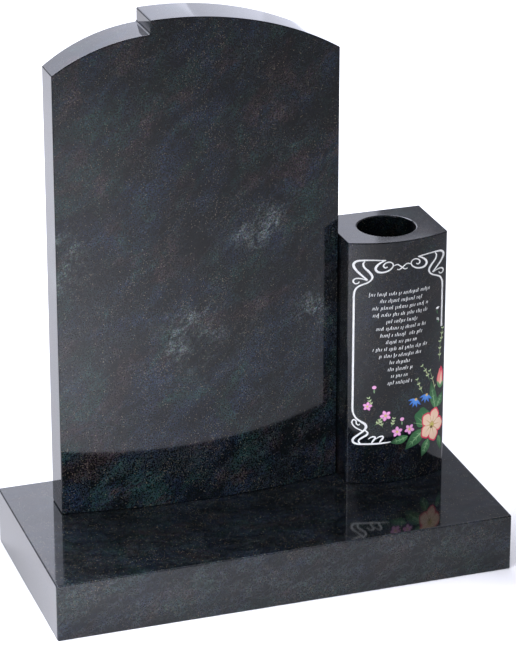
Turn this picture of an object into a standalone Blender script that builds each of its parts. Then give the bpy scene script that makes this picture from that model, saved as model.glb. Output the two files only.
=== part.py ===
"""A lawn memorial of three dark polished granite stones.

A rectangular base carries a bow-fronted headstone, whose arched top steps up once, and beside it a
bow-fronted vase pillar with a bored flower well and a carved scroll border round rows of strokes.

The origin is the middle of the base's underside. +X is the viewer's right, -Y faces the viewer, +Z is up.
"""

import math

import bmesh
import bpy
import numpy as np

mm = 0.001

# Joints between the stones
bed_joint = 0.3 * mm
side_joint = 1.5 * mm

# Headstone
slab_width = 393 * mm
slab_end_depth = 48 * mm
slab_bow = 19 * mm
slab_shoulder_height = 620 * mm
slab_lower_arch_rise = 48 * mm
slab_step_rise = 19 * mm
slab_step_from_left = 128 * mm
lower_arch_crown_past_step = 16 * mm
upper_arch_crown_past_step = 30 * mm
step_cove_radius = 3 * mm
slab_corner_radius = 3 * mm

# Vase pillar, as deep as its flower well and the walls before and behind it
pillar_width = 144 * mm
pillar_bow = 17 * mm
pillar_height = 355 * mm
pillar_corner_radius = 5 * mm
well_diameter = 80 * mm
well_wall = 21 * mm
well_depth = 150 * mm
well_rim_chamfer = 2 * mm
pillar_depth = well_diameter + 2 * well_wall
pillar_end_depth = pillar_depth - pillar_bow

# Base, as wide and deep as the stones on it and the margins round them
base_height = 80 * mm
margin_left_of_slab = 62 * mm
margin_behind_slab = 59 * mm
margin_right_of_pillar = 34.5 * mm
margin_behind_pillar = 35 * mm
margin_before_pillar = 148 * mm
base_width = margin_left_of_slab + slab_width + side_joint + pillar_width + margin_right_of_pillar
base_depth = margin_before_pillar + pillar_depth + margin_behind_pillar

# Small flats along the edges
base_arris = 2 * mm
slab_arris = 1.5 * mm
pillar_arris = 1.2 * mm

# Where the stones stand
stone_foot = base_height + bed_joint
slab_left = -base_width / 2 + margin_left_of_slab
slab_back = base_depth / 2 - margin_behind_slab
pillar_left = slab_left + slab_width + side_joint
pillar_back = base_depth / 2 - margin_behind_pillar
pillar_middle = pillar_left + pillar_width / 2
pillar_top = stone_foot + pillar_height

# Scroll border on the pillar's face, whose right line is the shorter one
carving_depth = 1.0 * mm
cutter_stand_off = 1.5 * mm
border_line_width = 2.8 * mm
border_side_margin = 6 * mm
border_foot_margin = 60 * mm
border_right_length = 137 * mm
border_half_width = pillar_width / 2 - border_side_margin

# Rows of strokes in the inscription's place, as shares of the border's width
first_row_drop = 75 * mm
row_pitch = 10.1 * mm
row_shares = (0.70, 0.48, 0.64, 0.62, 0.38, 0.58, 0.50, 0.37, 0.61, 0.48, 0.26, 0.29, 0.21, 0.28)
stroke_depth = 0.7 * mm
stroke_pitch = 4.6 * mm
stroke_width = 1.1 * mm
stroke_height = 4.2 * mm
stroke_lean = 0.9 * mm
strokes_in_a_group = 5

# Facets of the round stretches
corner_steps = 4
bow_steps_slab = 28
bow_steps_pillar = 24
cove_steps = 5
arch_steps_lower = 14
well_steps = 48
curve_steps = 3


class BowPlan:
    """The plan of a stone with a flat back, square sides and a front bowed to a circular arc.

    Plan x runs from 0 at the left side to the stone's width, plan y from 0 at the back to minus the depth.
    The front corners are rounded by a small arc that touches both the side and the bow.
    """

    def __init__(self, width, end_depth, bow, corner):
        half = width / 2
        self.width = width
        self.corner = corner
        self.radius = (half ** 2 + bow ** 2) / (2 * bow)
        self.centre_y = self.radius - end_depth - bow
        reach = self.radius - corner
        self.corner_y = self.centre_y - math.sqrt(reach ** 2 - (half - corner) ** 2)
        self.touch_angle = math.atan2(self.corner_y - self.centre_y, corner - half)
        self.touch_x = corner + corner * math.cos(self.touch_angle)

    def front(self, x):
        """Plan y of the front at plan x."""
        inset = min(x, self.width - x)
        if inset < self.touch_x:
            return self.corner_y - math.sqrt(max(self.corner ** 2 - (self.corner - inset) ** 2, 0.0))
        return self.centre_y - math.sqrt(self.radius ** 2 - (x - self.width / 2) ** 2)

    def corner_stations(self):
        """Plan x of the facets that round the left corner, from the side to the bow."""
        sweep = self.touch_angle % (2 * math.pi) - math.pi
        angles = [math.pi + sweep * i / corner_steps for i in range(corner_steps + 1)]
        return [self.corner + self.corner * math.cos(angle) for angle in angles]

    def right_corner_stations(self):
        """Plan x of the facets that round the right corner, from the bow to the side."""
        return [self.width - x for x in reversed(self.corner_stations())]


def arch_height(x, crown_x, start, end):
    """Height at x of the circular arc through two (x, z) points whose crown stands at crown_x."""
    a = start[0] - crown_x
    b = end[0] - crown_x
    centre_z = (a ** 2 + start[1] ** 2 - b ** 2 - end[1] ** 2) / (2 * (start[1] - end[1]))
    radius = math.hypot(a, start[1] - centre_z)
    return centre_z + math.sqrt(radius ** 2 - (x - crown_x) ** 2)


def spread(first, last, steps):
    """Evenly spaced values from first to last, with both ends."""
    return [first + (last - first) * i / steps for i in range(steps + 1)]


def make_object(name, bm, material):
    """Put a bmesh into a new object, with its faces turned outwards."""
    bmesh.ops.recalc_face_normals(bm, faces=bm.faces)
    mesh = bpy.data.meshes.new(name)
    bm.to_mesh(mesh)
    bm.free()
    mesh.materials.append(material)
    obj = bpy.data.objects.new(name, mesh)
    bpy.context.scene.collection.objects.link(obj)
    return obj


def bow_fronted_stone(name, plan, top, foot, left, back, material):
    """A stone whose plan is a BowPlan and whose top follows the (x, z) points of one profile.

    Each point of the profile is a station with a front and a back vertex at its height. Two points at one x
    make an upright step, and the column of the front beside it takes in the lower point too.
    """
    bm = bmesh.new()
    crest = []
    ground = []
    for i, (x, z) in enumerate(top):
        front_y = back + plan.front(x)
        crest.append((bm.verts.new((left + x, front_y, foot + z)), bm.verts.new((left + x, back, foot + z))))
        if i and x == top[i - 1][0]:
            ground.append(ground[-1])
        else:
            ground.append((bm.verts.new((left + x, front_y, foot)), bm.verts.new((left + x, back, foot))))
    for i in range(len(top) - 1):
        bm.faces.new((crest[i][0], crest[i + 1][0], crest[i + 1][1], crest[i][1]))
        if ground[i] is ground[i + 1]:
            continue
        column = [ground[i][0], ground[i + 1][0], crest[i + 1][0], crest[i][0]]
        if i and ground[i] is ground[i - 1]:
            column.append(crest[i - 1][0])
        bm.faces.new(column)
    feet = [pair for i, pair in enumerate(ground) if not i or pair is not ground[i - 1]]
    bm.faces.new([pair[1] for pair in crest] + [pair[1] for pair in reversed(feet)])
    bm.faces.new([pair[0] for pair in feet] + [pair[1] for pair in reversed(feet)])
    for i in (0, -1):
        bm.faces.new((ground[i][0], crest[i][0], crest[i][1], ground[i][1]))
    return make_object(name, bm, material)


def add_arris(obj, width):
    """Break the stone's sharp edges with one small flat."""
    bevel = obj.modifiers.new("arris", 'BEVEL')
    bevel.width = width
    bevel.segments = 1
    bevel.limit_method = 'ANGLE'
    bevel.angle_limit = math.radians(40)
    bevel.use_clamp_overlap = True


def cut(obj, cutter, own_overlaps=False):
    """Take a closed cutter away from a stone, and hide the cutter."""
    boolean = obj.modifiers.new(cutter.name, 'BOOLEAN')
    boolean.operation = 'DIFFERENCE'
    boolean.solver = 'EXACT'
    boolean.use_self = own_overlaps
    boolean.object = cutter
    cutter.hide_render = True
    cutter.display_type = 'WIRE'


def granite(name, colour, roughness):
    """Polished stone."""
    material = bpy.data.materials.new(name)
    material.use_nodes = True
    shader = material.node_tree.nodes["Principled BSDF"]
    shader.inputs["Base Color"].default_value = (*colour, 1.0)
    shader.inputs["Roughness"].default_value = roughness
    shader.inputs["Metallic"].default_value = 0.0
    return material


def make_base(material):
    """The flat slab that carries both stones."""
    bm = bmesh.new()
    bmesh.ops.create_cube(bm, size=1.0)
    bmesh.ops.scale(bm, vec=(base_width, base_depth, base_height), verts=bm.verts)
    bmesh.ops.translate(bm, vec=(0.0, 0.0, base_height / 2), verts=bm.verts)
    obj = make_object("base", bm, material)
    add_arris(obj, base_arris)
    return obj


def slab_top(plan):
    """The headstone's top: a lower arch, a small cove, an upright step and an upper arch."""
    step = slab_step_from_left
    low_z = slab_shoulder_height + slab_lower_arch_rise
    high_z = low_z + slab_step_rise
    left_shoulder = (0.0, slab_shoulder_height)
    right_shoulder = (slab_width, slab_shoulder_height)
    lower_crown = step + lower_arch_crown_past_step
    upper_crown = step + upper_arch_crown_past_step
    cove_start = step - step_cove_radius
    cove_z = arch_height(cove_start, lower_crown, left_shoulder, (step, low_z))
    points = []
    for x in plan.corner_stations()[:-1] + spread(plan.touch_x, cove_start, arch_steps_lower):
        points.append((x, arch_height(x, lower_crown, left_shoulder, (step, low_z))))
    for angle in spread(0.0, math.pi / 2, cove_steps)[1:]:
        rise = step_cove_radius * (1 - math.cos(angle))
        points.append((cove_start + step_cove_radius * math.sin(angle), cove_z + rise))
    points[-1] = (step, points[-1][1])
    for x in spread(step, slab_width - plan.touch_x, bow_steps_slab) + plan.right_corner_stations()[1:]:
        points.append((x, arch_height(x, upper_crown, (step, high_z), right_shoulder)))
    return points


def make_headstone(material):
    """The tall slab with the bowed face and the stepped, arched top."""
    plan = BowPlan(slab_width, slab_end_depth, slab_bow, slab_corner_radius)
    obj = bow_fronted_stone("headstone", plan, slab_top(plan), stone_foot, slab_left, slab_back, material)
    add_arris(obj, slab_arris)
    return obj


def make_well_cutter():
    """A turned plug for the flower well: straight walls, then a short flare through the rim."""
    radius = well_diameter / 2
    over = cutter_stand_off
    profile = [
        (radius, pillar_top - well_depth),
        (radius, pillar_top - well_rim_chamfer),
        (radius + well_rim_chamfer + over, pillar_top + over),
    ]
    centre_y = pillar_back - pillar_depth / 2
    bm = bmesh.new()
    rings = []
    for ring_radius, z in profile:
        ring = []
        for i in range(well_steps):
            angle = 2 * math.pi * i / well_steps
            x = pillar_middle + ring_radius * math.cos(angle)
            ring.append(bm.verts.new((x, centre_y + ring_radius * math.sin(angle), z)))
        rings.append(ring)
    for lower, upper in zip(rings, rings[1:]):
        for i in range(well_steps):
            j = (i + 1) % well_steps
            bm.faces.new((lower[i], lower[j], upper[j], upper[i]))
    bm.faces.new(rings[0])
    bm.faces.new(rings[-1])
    material = bpy.data.materials.new("well_wall")
    return make_object("well_cutter", bm, material)


def face_point(plan, across, drop, proud):
    """A point of the pillar's face: across along the bow, drop below the top, proud of the surface."""
    angle = across / plan.radius
    reach = plan.radius + proud
    x = pillar_middle + reach * math.sin(angle)
    y = pillar_back + plan.centre_y - reach * math.cos(angle)
    return (x, y, pillar_top - drop)


def smooth_curve(points):
    """A Catmull-Rom curve through the (across, drop, width) points of one stroke."""
    keys = np.array([points[0]] + list(points) + [points[-1]], float)
    curve = []
    for a, b, c, d in zip(keys, keys[1:], keys[2:], keys[3:]):
        for t in spread(0.0, 1.0, curve_steps)[:-1]:
            turn = (c - a) * t + (2 * a - 5 * b + 4 * c - d) * t ** 2 + (3 * b - a - 3 * c + d) * t ** 3
            curve.append(b + turn / 2)
    curve.append(keys[-2])
    return np.array(curve)


def add_stroke(bm, plan, curve, depth):
    """A closed ribbon along a curve of (across, drop, width), sunk into the face by depth."""
    along = np.gradient(curve[:, :2], axis=0)
    along /= np.linalg.norm(along, axis=1)[:, None]
    side = np.stack([-along[:, 1], along[:, 0]], axis=1) * curve[:, 2:3] / 2
    rings = []
    for centre, half in zip(curve[:, :2], side):
        left = centre + half
        right = centre - half
        corners = ((left, cutter_stand_off), (right, cutter_stand_off), (right, -depth), (left, -depth))
        rings.append([bm.verts.new(face_point(plan, spot[0], spot[1], proud)) for spot, proud in corners])
    for first, second in zip(rings, rings[1:]):
        for i in range(4):
            j = (i + 1) % 4
            bm.faces.new((first[i], first[j], second[j], second[i]))
    bm.faces.new(rings[0])
    bm.faces.new(rings[-1])


def upper_border(w, line):
    """The corner whip, its inner band, the corner loop, the scroll and the wave of the right half.

    Points are (across, drop, width) in millimetres, and w is the border's half width. The inner band is last,
    because the border's side line runs on from it.
    """
    corner_whip = [(w - 43, 25.5, 1.6), (w - 30, 24.6, 1.8), (w - 16, 24.3, 2.2), (w - 5, 25.2, 2.8)]
    corner_whip += [(w, 28.4, 3.4), (w + 0.6, 33, 3.8), (w - 4, 40, 3.2)]
    corner_whip += [(w - 12, 47.4, 2.6), (w - 18.5, 53, 2.0)]
    corner_loop = [(w - 17.5, 53.2, 1.6), (w - 9.5, 50.6, 1.8), (w - 2, 50.8, 2.0), (w + 1.2, 54.4, 2.2)]
    corner_loop += [(w - 1.6, 58, 2.0), (w - 5.8, 57.2, 1.8), (w - 7, 54.8, 1.4)]
    scroll = [(23.4, 25.6, 1.6), (29, 27.8, 2.2), (34.8, 32, 3.0), (37.2, 36.9, 3.4), (34.2, 41.3, 3.2)]
    scroll += [(28, 42.6, 2.6), (20.5, 41.2, 2.2), (15, 37.6, 2.0), (12.9, 33.5, 1.8), (14.5, 29.8, 1.8)]
    scroll += [(19, 28.2, 1.8), (24.2, 29.8, 2.0), (26.4, 33.4, 2.2), (23.8, 36.2, 2.2), (20.6, 34.8, 1.6)]
    middle_wave = [(13.4, 34.6, 1.2), (7.5, 32.8, 1.6), (3.3, 35.0, 1.8), (-0.8, 38.4, 1.8)]
    middle_wave += [(-4.4, 40.4, 1.8), (-7.6, 39.4, 1.2)]
    inner_band = [(w - 14.5, 25.6, 1.6), (w - 12.2, 29.4, 2.6), (w - 14, 35, 2.8), (w - 20.5, 41.4, 3.2)]
    inner_band += [(w - 24.6, 47.8, 3.2), (w - 23, 52.8, 2.4), (w - 18, 56.8, 2.2), (w - 11, 59.6, 2.2)]
    inner_band += [(w - 4.8, 63, 2.4), (w - 1, 69, line), (w, 77, line)]
    return corner_whip, corner_loop, scroll, middle_wave, inner_band


def lower_border(w, line, d):
    """The foot that the left side line runs into, its loop, its inner band and two ripples.

    Points are (across, drop, width) in millimetres, and d is the drop of the lowest line.
    """
    foot = [(-w, d - 59, line), (-w + 0.2, d - 51, line), (-w + 2, d - 44, 2.6), (-w + 6, d - 38, 2.6)]
    foot += [(-w + 11.5, d - 34, 3.0), (-w + 17.2, d - 30, 3.6), (-w + 18.8, d - 26, 3.8)]
    foot += [(-w + 16.4, d - 21, 3.0), (-w + 10, d - 15.6, 2.6), (-w + 4, d - 10.8, 3.0)]
    foot += [(-w + 0.8, d - 6.6, 3.4), (-w + 2, d - 2.4, 3.2), (-w + 6.8, d - 0.4, 2.8)]
    foot += [(-w + 15, d, 2.6), (-w + 30, d, 2.6), (-w + 44, d - 0.4, 2.2), (-w + 54, d - 1.2, 1.2)]
    foot_loop = [(-w + 14.6, d - 19.8, 1.6), (-w + 7, d - 23.2, 1.8), (-w + 1.6, d - 27.8, 2.0)]
    foot_loop += [(-w - 0.6, d - 32.8, 2.2), (-w + 1.4, d - 36.6, 2.0), (-w + 5, d - 35, 1.8)]
    foot_loop += [(-w + 5.6, d - 30.8, 1.8), (-w + 8.6, d - 28.6, 1.6), (-w + 10.4, d - 30.6, 1.2)]
    foot_band = [(-w + 17.6, d - 20.8, 1.6), (-w + 20.8, d - 17.6, 2.6), (-w + 20, d - 14, 3.0)]
    foot_band += [(-w + 14.4, d - 10.2, 2.8), (-w + 10, d - 7, 2.6)]
    foot_band += [(-w + 9, d - 3.8, 2.4), (-w + 11, d - 1.2, 1.8)]
    ripple = [(0, -7.2, 1.0), (4.2, -10.2, 2.0), (8.8, -10.4, 2.4), (9.6, -8.2, 2.6)]
    ripple += [(6.8, -4.6, 2.6), (4.6, -1.2, 1.8)]
    strokes = [foot, foot_loop, foot_band]
    for start in (22, 33):
        strokes.append([(-w + start + across, d + drop, width) for across, drop, width in ripple])
    return strokes


def border_curves():
    """Every curve of the border, as rows of (across, drop, width) in metres."""
    w = border_half_width / mm
    line = border_line_width / mm
    foot, *lower = lower_border(w, line, (pillar_height - border_foot_margin) / mm)
    curves = [smooth_curve(points) for points in lower]
    for side in (-1, 1):
        *upper, band = [smooth_curve(points) * (side, 1, 1) for points in upper_border(w, line)]
        tail = smooth_curve(foot) if side < 0 else np.array([(w, border_right_length / mm, line)])
        curves += upper + [np.vstack((band, tail))]
    return [curve * mm for curve in curves]


def make_border_cutter(plan, material):
    """All curves of the border as one cutter, whose ribbons run into each other at the joins."""
    bm = bmesh.new()
    for curve in border_curves():
        add_stroke(bm, plan, curve, carving_depth)
    return make_object("border_cutter", bm, material)


def make_row_cutter(plan, material):
    """Short leaning strokes in centred rows, with a gap after each group."""
    bm = bmesh.new()
    for row, share in enumerate(row_shares):
        drop = first_row_drop + row * row_pitch
        count = int(share * 2 * border_half_width / stroke_pitch) + 1
        for i in range(count):
            if i % (strokes_in_a_group + 1) == strokes_in_a_group:
                continue
            across = (i - (count - 1) / 2) * stroke_pitch
            tall = stroke_height * (1.3 if (i + row) % 4 == 0 else 1.0)
            top = (across + stroke_lean / 2, drop - tall / 2, stroke_width)
            foot = (across - stroke_lean / 2, drop + stroke_height / 2, stroke_width)
            add_stroke(bm, plan, np.array((top, foot)), stroke_depth)
    return make_object("row_cutter", bm, material)


def make_vase_pillar(material):
    """The short bow-fronted block beside the slab, with its flower well and carved face."""
    plan = BowPlan(pillar_width, pillar_end_depth, pillar_bow, pillar_corner_radius)
    inner = spread(plan.touch_x, pillar_width - plan.touch_x, bow_steps_pillar)
    stations = plan.corner_stations()[:-1] + inner + plan.right_corner_stations()[1:]
    top = [(x, pillar_height) for x in stations]
    obj = bow_fronted_stone("vase_pillar", plan, top, stone_foot, pillar_left, pillar_back, material)
    add_arris(obj, pillar_arris)
    cut(obj, make_well_cutter())
    paint = granite("white_paint", (0.8, 0.8, 0.78), 0.5)
    cut(obj, make_border_cutter(plan, paint), own_overlaps=True)
    cut(obj, make_row_cutter(plan, paint))
    return obj


def main():
    for old in list(bpy.data.objects):
        bpy.data.objects.remove(old)
    make_base(granite("base_granite", (0.022, 0.024, 0.028), 0.12))
    make_headstone(granite("headstone_granite", (0.020, 0.022, 0.026), 0.12))
    make_vase_pillar(granite("pillar_granite", (0.020, 0.022, 0.026), 0.12))


main()
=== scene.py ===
# %% [markdown]
# # A lawn memorial in three polished stones
#
# The real object is a flat base that carries a tall bow-fronted headstone and, close beside it, a shorter
# bow-fronted vase pillar with a bored flower well. All three are cut from one dark granite, polished until
# they mirror what stands round them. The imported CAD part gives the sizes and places. This script builds the
# stones again with rounded edges, a carved and painted face and a real stone figure, so that light runs along
# every edge as it does on the object.

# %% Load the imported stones
import math

import bpy
import numpy as np
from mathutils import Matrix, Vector
from mathutils.geometry import delaunay_2d_cdt


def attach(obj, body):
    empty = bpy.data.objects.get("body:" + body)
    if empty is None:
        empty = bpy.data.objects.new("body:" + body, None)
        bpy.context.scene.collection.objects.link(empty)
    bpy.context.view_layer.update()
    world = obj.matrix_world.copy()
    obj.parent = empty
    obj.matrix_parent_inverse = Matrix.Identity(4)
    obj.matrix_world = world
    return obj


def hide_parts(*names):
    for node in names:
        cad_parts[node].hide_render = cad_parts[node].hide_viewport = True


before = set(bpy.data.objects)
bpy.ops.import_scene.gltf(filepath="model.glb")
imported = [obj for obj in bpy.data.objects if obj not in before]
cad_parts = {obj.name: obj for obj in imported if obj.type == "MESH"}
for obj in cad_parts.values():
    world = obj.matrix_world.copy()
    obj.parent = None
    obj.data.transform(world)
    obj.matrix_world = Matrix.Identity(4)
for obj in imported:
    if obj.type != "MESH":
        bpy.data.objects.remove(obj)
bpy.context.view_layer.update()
mm = 0.001
print("packed stones:", sorted(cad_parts))

# %% [markdown]
# ## The camera
#
# A polished stone looks like its surroundings, so the viewpoint comes first: it decides what each face
# mirrors. The photograph was taken with a long lens, from the viewer's left and a little above, and its
# uprights are nearly parallel. The camera looks along a direction given by two angles, from far enough back,
# and a small part of the downward look is done by shift.

# %% Camera
camera_turn = math.radians(18.78)
camera_drop = math.radians(20.39)
camera_target = Vector((0.0218, 0.0413, 0.5040))
camera_distance = 3.9768
sensor_width = 36
focal_length = 163.885
upright_shift = -0.2
furthest_seen = 50


def place_camera():
    """Camera at target - distance * forward, with the way it looks given by its turn and its drop.

    forward = (sin turn * cos drop, cos turn * cos drop, -sin drop)
    """
    level = math.cos(camera_drop)
    forward = Vector((math.sin(camera_turn) * level, math.cos(camera_turn) * level, -math.sin(camera_drop)))
    data = bpy.data.cameras.new("camera")
    data.sensor_width = sensor_width
    data.lens = focal_length
    data.shift_y = upright_shift
    data.clip_end = furthest_seen
    camera = bpy.data.objects.new("camera", data)
    camera.location = camera_target - camera_distance * forward
    camera.rotation_mode = 'QUATERNION'
    camera.rotation_quaternion = forward.to_track_quat('-Z', 'Y')
    bpy.context.scene.collection.objects.link(camera)
    bpy.context.scene.camera = camera
    return camera


camera = place_camera()
print("camera stands at", [round(value, 3) for value in camera.location])

# %% [markdown]
# ## Outlines with rounded corners
#
# A stone saw leaves sharp corners, and the mason eases each one before polishing, because a sharp edge of
# granite chips. A Bevel modifier could do that, but its small flats catch light in steps. Here each corner of
# an outline is an arc worked out from the two directions that meet there, and every point brings its own
# outward direction along, so the shading across the round is exact.

# %% Outline helpers


def left_of(heading):
    """A quarter turn to the left: (a, b) becomes (-b, a)."""
    return np.stack([-heading[..., 1], heading[..., 0]], axis=-1)


def round_corner(corner, into, out, radius, steps=5):
    """Arc that rounds one corner of an outline that runs anticlockwise, as points and outward normals.

    The heading turns evenly from `into` to `out`. The arc starts radius * tan(turn / 2) before the corner.
    Each point is the arc's centre - side * radius * left(heading), with side +1 where the outline turns left.
    """
    corner, into, out = (np.asarray(value, float) for value in (corner, into, out))
    start = math.atan2(into[1], into[0])
    turn = (math.atan2(out[1], out[0]) - start + math.pi) % (2 * math.pi) - math.pi
    side = math.copysign(1.0, turn)
    angle = start + turn * np.linspace(0, 1, steps + 1)
    heading = np.stack([np.cos(angle), np.sin(angle)], axis=1)
    centre = corner - radius * math.tan(abs(turn) / 2) * into + side * radius * left_of(into)
    return centre - side * radius * left_of(heading), -left_of(heading)


def straight_run(first, last, outward, steps):
    """Points strictly between two ends: first + (last - first) * i / steps for i from 1 to steps - 1."""
    share = np.arange(1, steps)[:, None] / steps
    first, last = np.asarray(first, float), np.asarray(last, float)
    return first + (last - first) * share, np.tile(np.asarray(outward, float), (steps - 1, 1))


def joined(parts):
    """The points of several stretches of an outline, one after the other, and their outward normals."""
    return np.concatenate([part[0] for part in parts]), np.concatenate([part[1] for part in parts])


print("a square corner is rounded with", len(round_corner((0, 0), (1, 0), (0, 1), mm)[0]), "points")

# %% [markdown]
# ## The eased edge of an upright side
#
# The sides of the base and of the pillar end in the same eased edge, above and below, because the mason runs
# one profile wheel along both stones. In the same way, one profile of two quarter rounds is worked out here,
# and each of the two stones carries it round its own plan. Bevels set by hand could differ between them.

# %% Edge profile


def quarter_rounds(foot, top, radius, steps=5):
    """Inset, height and lean up an upright side whose lower and upper edges are quarter rounds.

    inset = radius - radius * cos(lean) and height = centre height + radius * sin(lean), with the lean running
    from -90 to 0 degrees at the foot and from 0 to 90 degrees at the top.
    """
    lean = np.radians(np.linspace(-90, 0, steps + 1))
    lean = np.concatenate([lean, -lean[::-1]])
    centre = np.where(np.arange(len(lean)) <= steps, foot + radius, top - radius)
    return radius * (1 - np.cos(lean)), centre + radius * np.sin(lean), lean


print("an upright side has", len(quarter_rounds(0, 1, mm)[0]), "rows of points")

# %% [markdown]
# ## From arrays to a mesh
#
# A stone is made of patches: a grid round its sides, flat ends, a filled face. Each patch is an array of
# points, an array of faces and a normal for every face corner. Joining patches as separate objects would
# leave hairline seams in the mirror polish, so one function welds points that lie at the same place, and
# another hands the faces and their exact normals to the mesh.

# %% Patches


def grid_quads(rows, columns):
    """Corner numbers of the quads of a grid whose columns close into a ring, strip by strip."""
    row, column = np.meshgrid(np.arange(rows - 1), np.arange(columns), indexing="ij")
    following = (column + 1) % columns
    here, above = row * columns, (row + 1) * columns
    return np.stack([here + column, here + following, above + following, above + column], axis=-1)


def patch(points, faces, normals, paint=None):
    """One patch: points, equal-sized faces, a normal for each corner, and a paint colour for each corner.

    A triangle or quad whose own normal, edge a x edge b, points away from the given ones is turned round.
    """
    points = np.asarray(points, float).reshape(-1, 3)
    faces = np.asarray(faces, int)
    faces = faces.reshape(-1, faces.shape[-1])
    normals = np.asarray(normals, float)
    if normals.ndim == 2:
        normals = normals[faces]
    edge_a = points[faces[:, 1]] - points[faces[:, 0]]
    edge_b = points[faces[:, 2]] - points[faces[:, 1]]
    if faces.shape[1] == 4:
        edge_a = points[faces[:, 2]] - points[faces[:, 0]]
        edge_b = points[faces[:, 3]] - points[faces[:, 1]]
    inside_out = np.einsum("ij,ij->i", np.cross(edge_a, edge_b), normals.mean(axis=1)) < 0
    if paint is None:
        paint = np.zeros(faces.shape + (4,))
    if faces.shape[1] <= 4:
        faces = np.where(inside_out[:, None], faces[:, ::-1], faces)
        normals = np.where(inside_out[:, None, None], normals[:, ::-1], normals)
        paint = np.where(inside_out[:, None, None], paint[:, ::-1], paint)
    return points, faces, normals, paint


def flat_end(points, normal):
    """A flat face over one closed loop of points, turned so that it faces along the normal."""
    points = np.asarray(points, float)
    sweep = np.cross(points, np.roll(points, -1, axis=0)).sum(axis=0)
    if sweep @ np.asarray(normal, float) < 0:
        points = points[::-1]
    return patch(points, [np.arange(len(points))], np.tile(np.asarray(normal, float), (len(points), 1)))


def carry_round(plan, outward, inset, height, lean):
    """Carry a profile round a closed plan, as a grid of points and of normals.

    point = (plan - inset * outward, height) and normal = (cos(lean) * outward, sin(lean)), one row for each
    step of the profile and one column for each point of the plan.
    """
    flat = plan[None] - inset[:, None, None] * outward[None]
    points = np.concatenate([flat, np.broadcast_to(height[:, None, None], flat.shape[:2] + (1,))], axis=2)
    level = np.cos(lean)[:, None, None] * outward[None]
    up = np.broadcast_to(np.sin(lean)[:, None, None], flat.shape[:2] + (1,))
    return points, np.concatenate([level, up], axis=2)


print("a ring of 3 rows and 4 columns has", grid_quads(3, 4).reshape(-1, 4).shape[0], "quads")

# %% Stones from patches
weld_cell = 1e-6
weld_offset = 0.3137


def weld(patches):
    """One point for each place, and the faces of all patches renumbered to the points that they use.

    Points are the same where floor(point / weld_cell + weld_offset) is. The offset keeps whole micrometres,
    which sizes in millimetres give, away from the limit between two cells.
    """
    starts = np.cumsum([0] + [len(points) for points, _, _, _ in patches])
    points = np.concatenate([points for points, _, _, _ in patches])
    cells = np.floor(points / weld_cell + weld_offset).astype(np.int64)
    _, first, place = np.unique(cells, axis=0, return_index=True, return_inverse=True)
    corners = [place.reshape(-1)[faces + start] for start, (_, faces, _, _) in zip(starts, patches)]
    used, packed = np.unique(np.concatenate([block.ravel() for block in corners]), return_inverse=True)
    ends = np.cumsum([block.size for block in corners])[:-1]
    faces = []
    for block, numbers in zip(corners, np.split(packed.reshape(-1), ends)):
        faces.extend(numbers.reshape(block.shape).tolist())
    return points[first][used], faces


def make_stone(name, patches, cad_node):
    """Weld the patches, make the mesh with its exact normals, hide its CAD stone and attach it to the root
    body.
    """
    points, faces = weld(patches)
    normals = np.concatenate([normals.reshape(-1, 3) for _, _, normals, _ in patches])
    paint = np.concatenate([paint.reshape(-1, 4) for _, _, _, paint in patches])
    mesh = bpy.data.meshes.new(name)
    mesh.from_pydata(points, [], faces)
    if mesh.validate():
        raise ValueError(name + " has a face that closes on itself")
    if paint.any():
        layer = mesh.color_attributes.new("paint", 'FLOAT_COLOR', 'CORNER')
        layer.data.foreach_set("color", paint.astype(np.float32).ravel())
    mesh.shade_smooth()
    mesh.normals_split_custom_set(normals / np.linalg.norm(normals, axis=1)[:, None])
    stone = bpy.data.objects.new(name, mesh)
    bpy.context.scene.collection.objects.link(stone)
    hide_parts(cad_node)
    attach(stone, "root")
    triangles = sum(len(face) - 2 for face in faces)
    print(name, "has", len(points), "points and", triangles, "triangles")
    return stone


print("points are welded in cells of", weld_cell / mm, "mm")

# %% [markdown]
# ## The base
#
# The base is a rectangular slab, sawn and polished on all its sides, with eased edges. A cube with a bevel
# would do for the shape, but the same profile-round-a-plan that the pillar needs gives it here: a plan with
# four rounded corners, and a side with two quarter rounds.

# %% Base
base_width = 635 * mm
base_depth = 305 * mm
base_height = 80 * mm
base_edge = 2.2 * mm
base_corner = 3 * mm


def base_plan():
    """A rectangle with rounded corners, anticlockwise from the front left."""
    x, y = base_width / 2, base_depth / 2
    corners = [(-x, -y), (x, -y), (x, y), (-x, y)]
    headings = [(0, -1), (1, 0), (0, 1), (-1, 0), (0, -1)]
    turns = zip(corners, headings[:-1], headings[1:])
    return joined([round_corner(corner, into, out, base_corner) for corner, into, out in turns])


def make_base():
    """The plan's outline carried up the side, and a flat end above and below."""
    plan, outward = base_plan()
    points, normals = carry_round(plan, outward, *quarter_rounds(0, base_height, base_edge))
    rows, columns = points.shape[:2]
    patches = [
        patch(points, grid_quads(rows, columns), normals.reshape(-1, 3)),
        flat_end(points[0], (0, 0, -1)),
        flat_end(points[-1], (0, 0, 1)),
    ]
    return make_stone("base_stone", patches, "base")


base_stone = make_base()

# %% [markdown]
# ## The headstone
#
# The headstone's character is its outline: two shallow arches that meet at a short upright step left of the
# middle. A mason saws that outline out of a thick slab whose face has first been bowed. The script does the
# same: it draws the closed outline with each corner rounded, carries it through the stone's thickness, rounds
# the edge into the flat back and into the bowed face, and then fills the face. The face is filled with
# Delaunay triangles over an even spread of inner points, because a plain grid can't follow the step.

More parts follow.
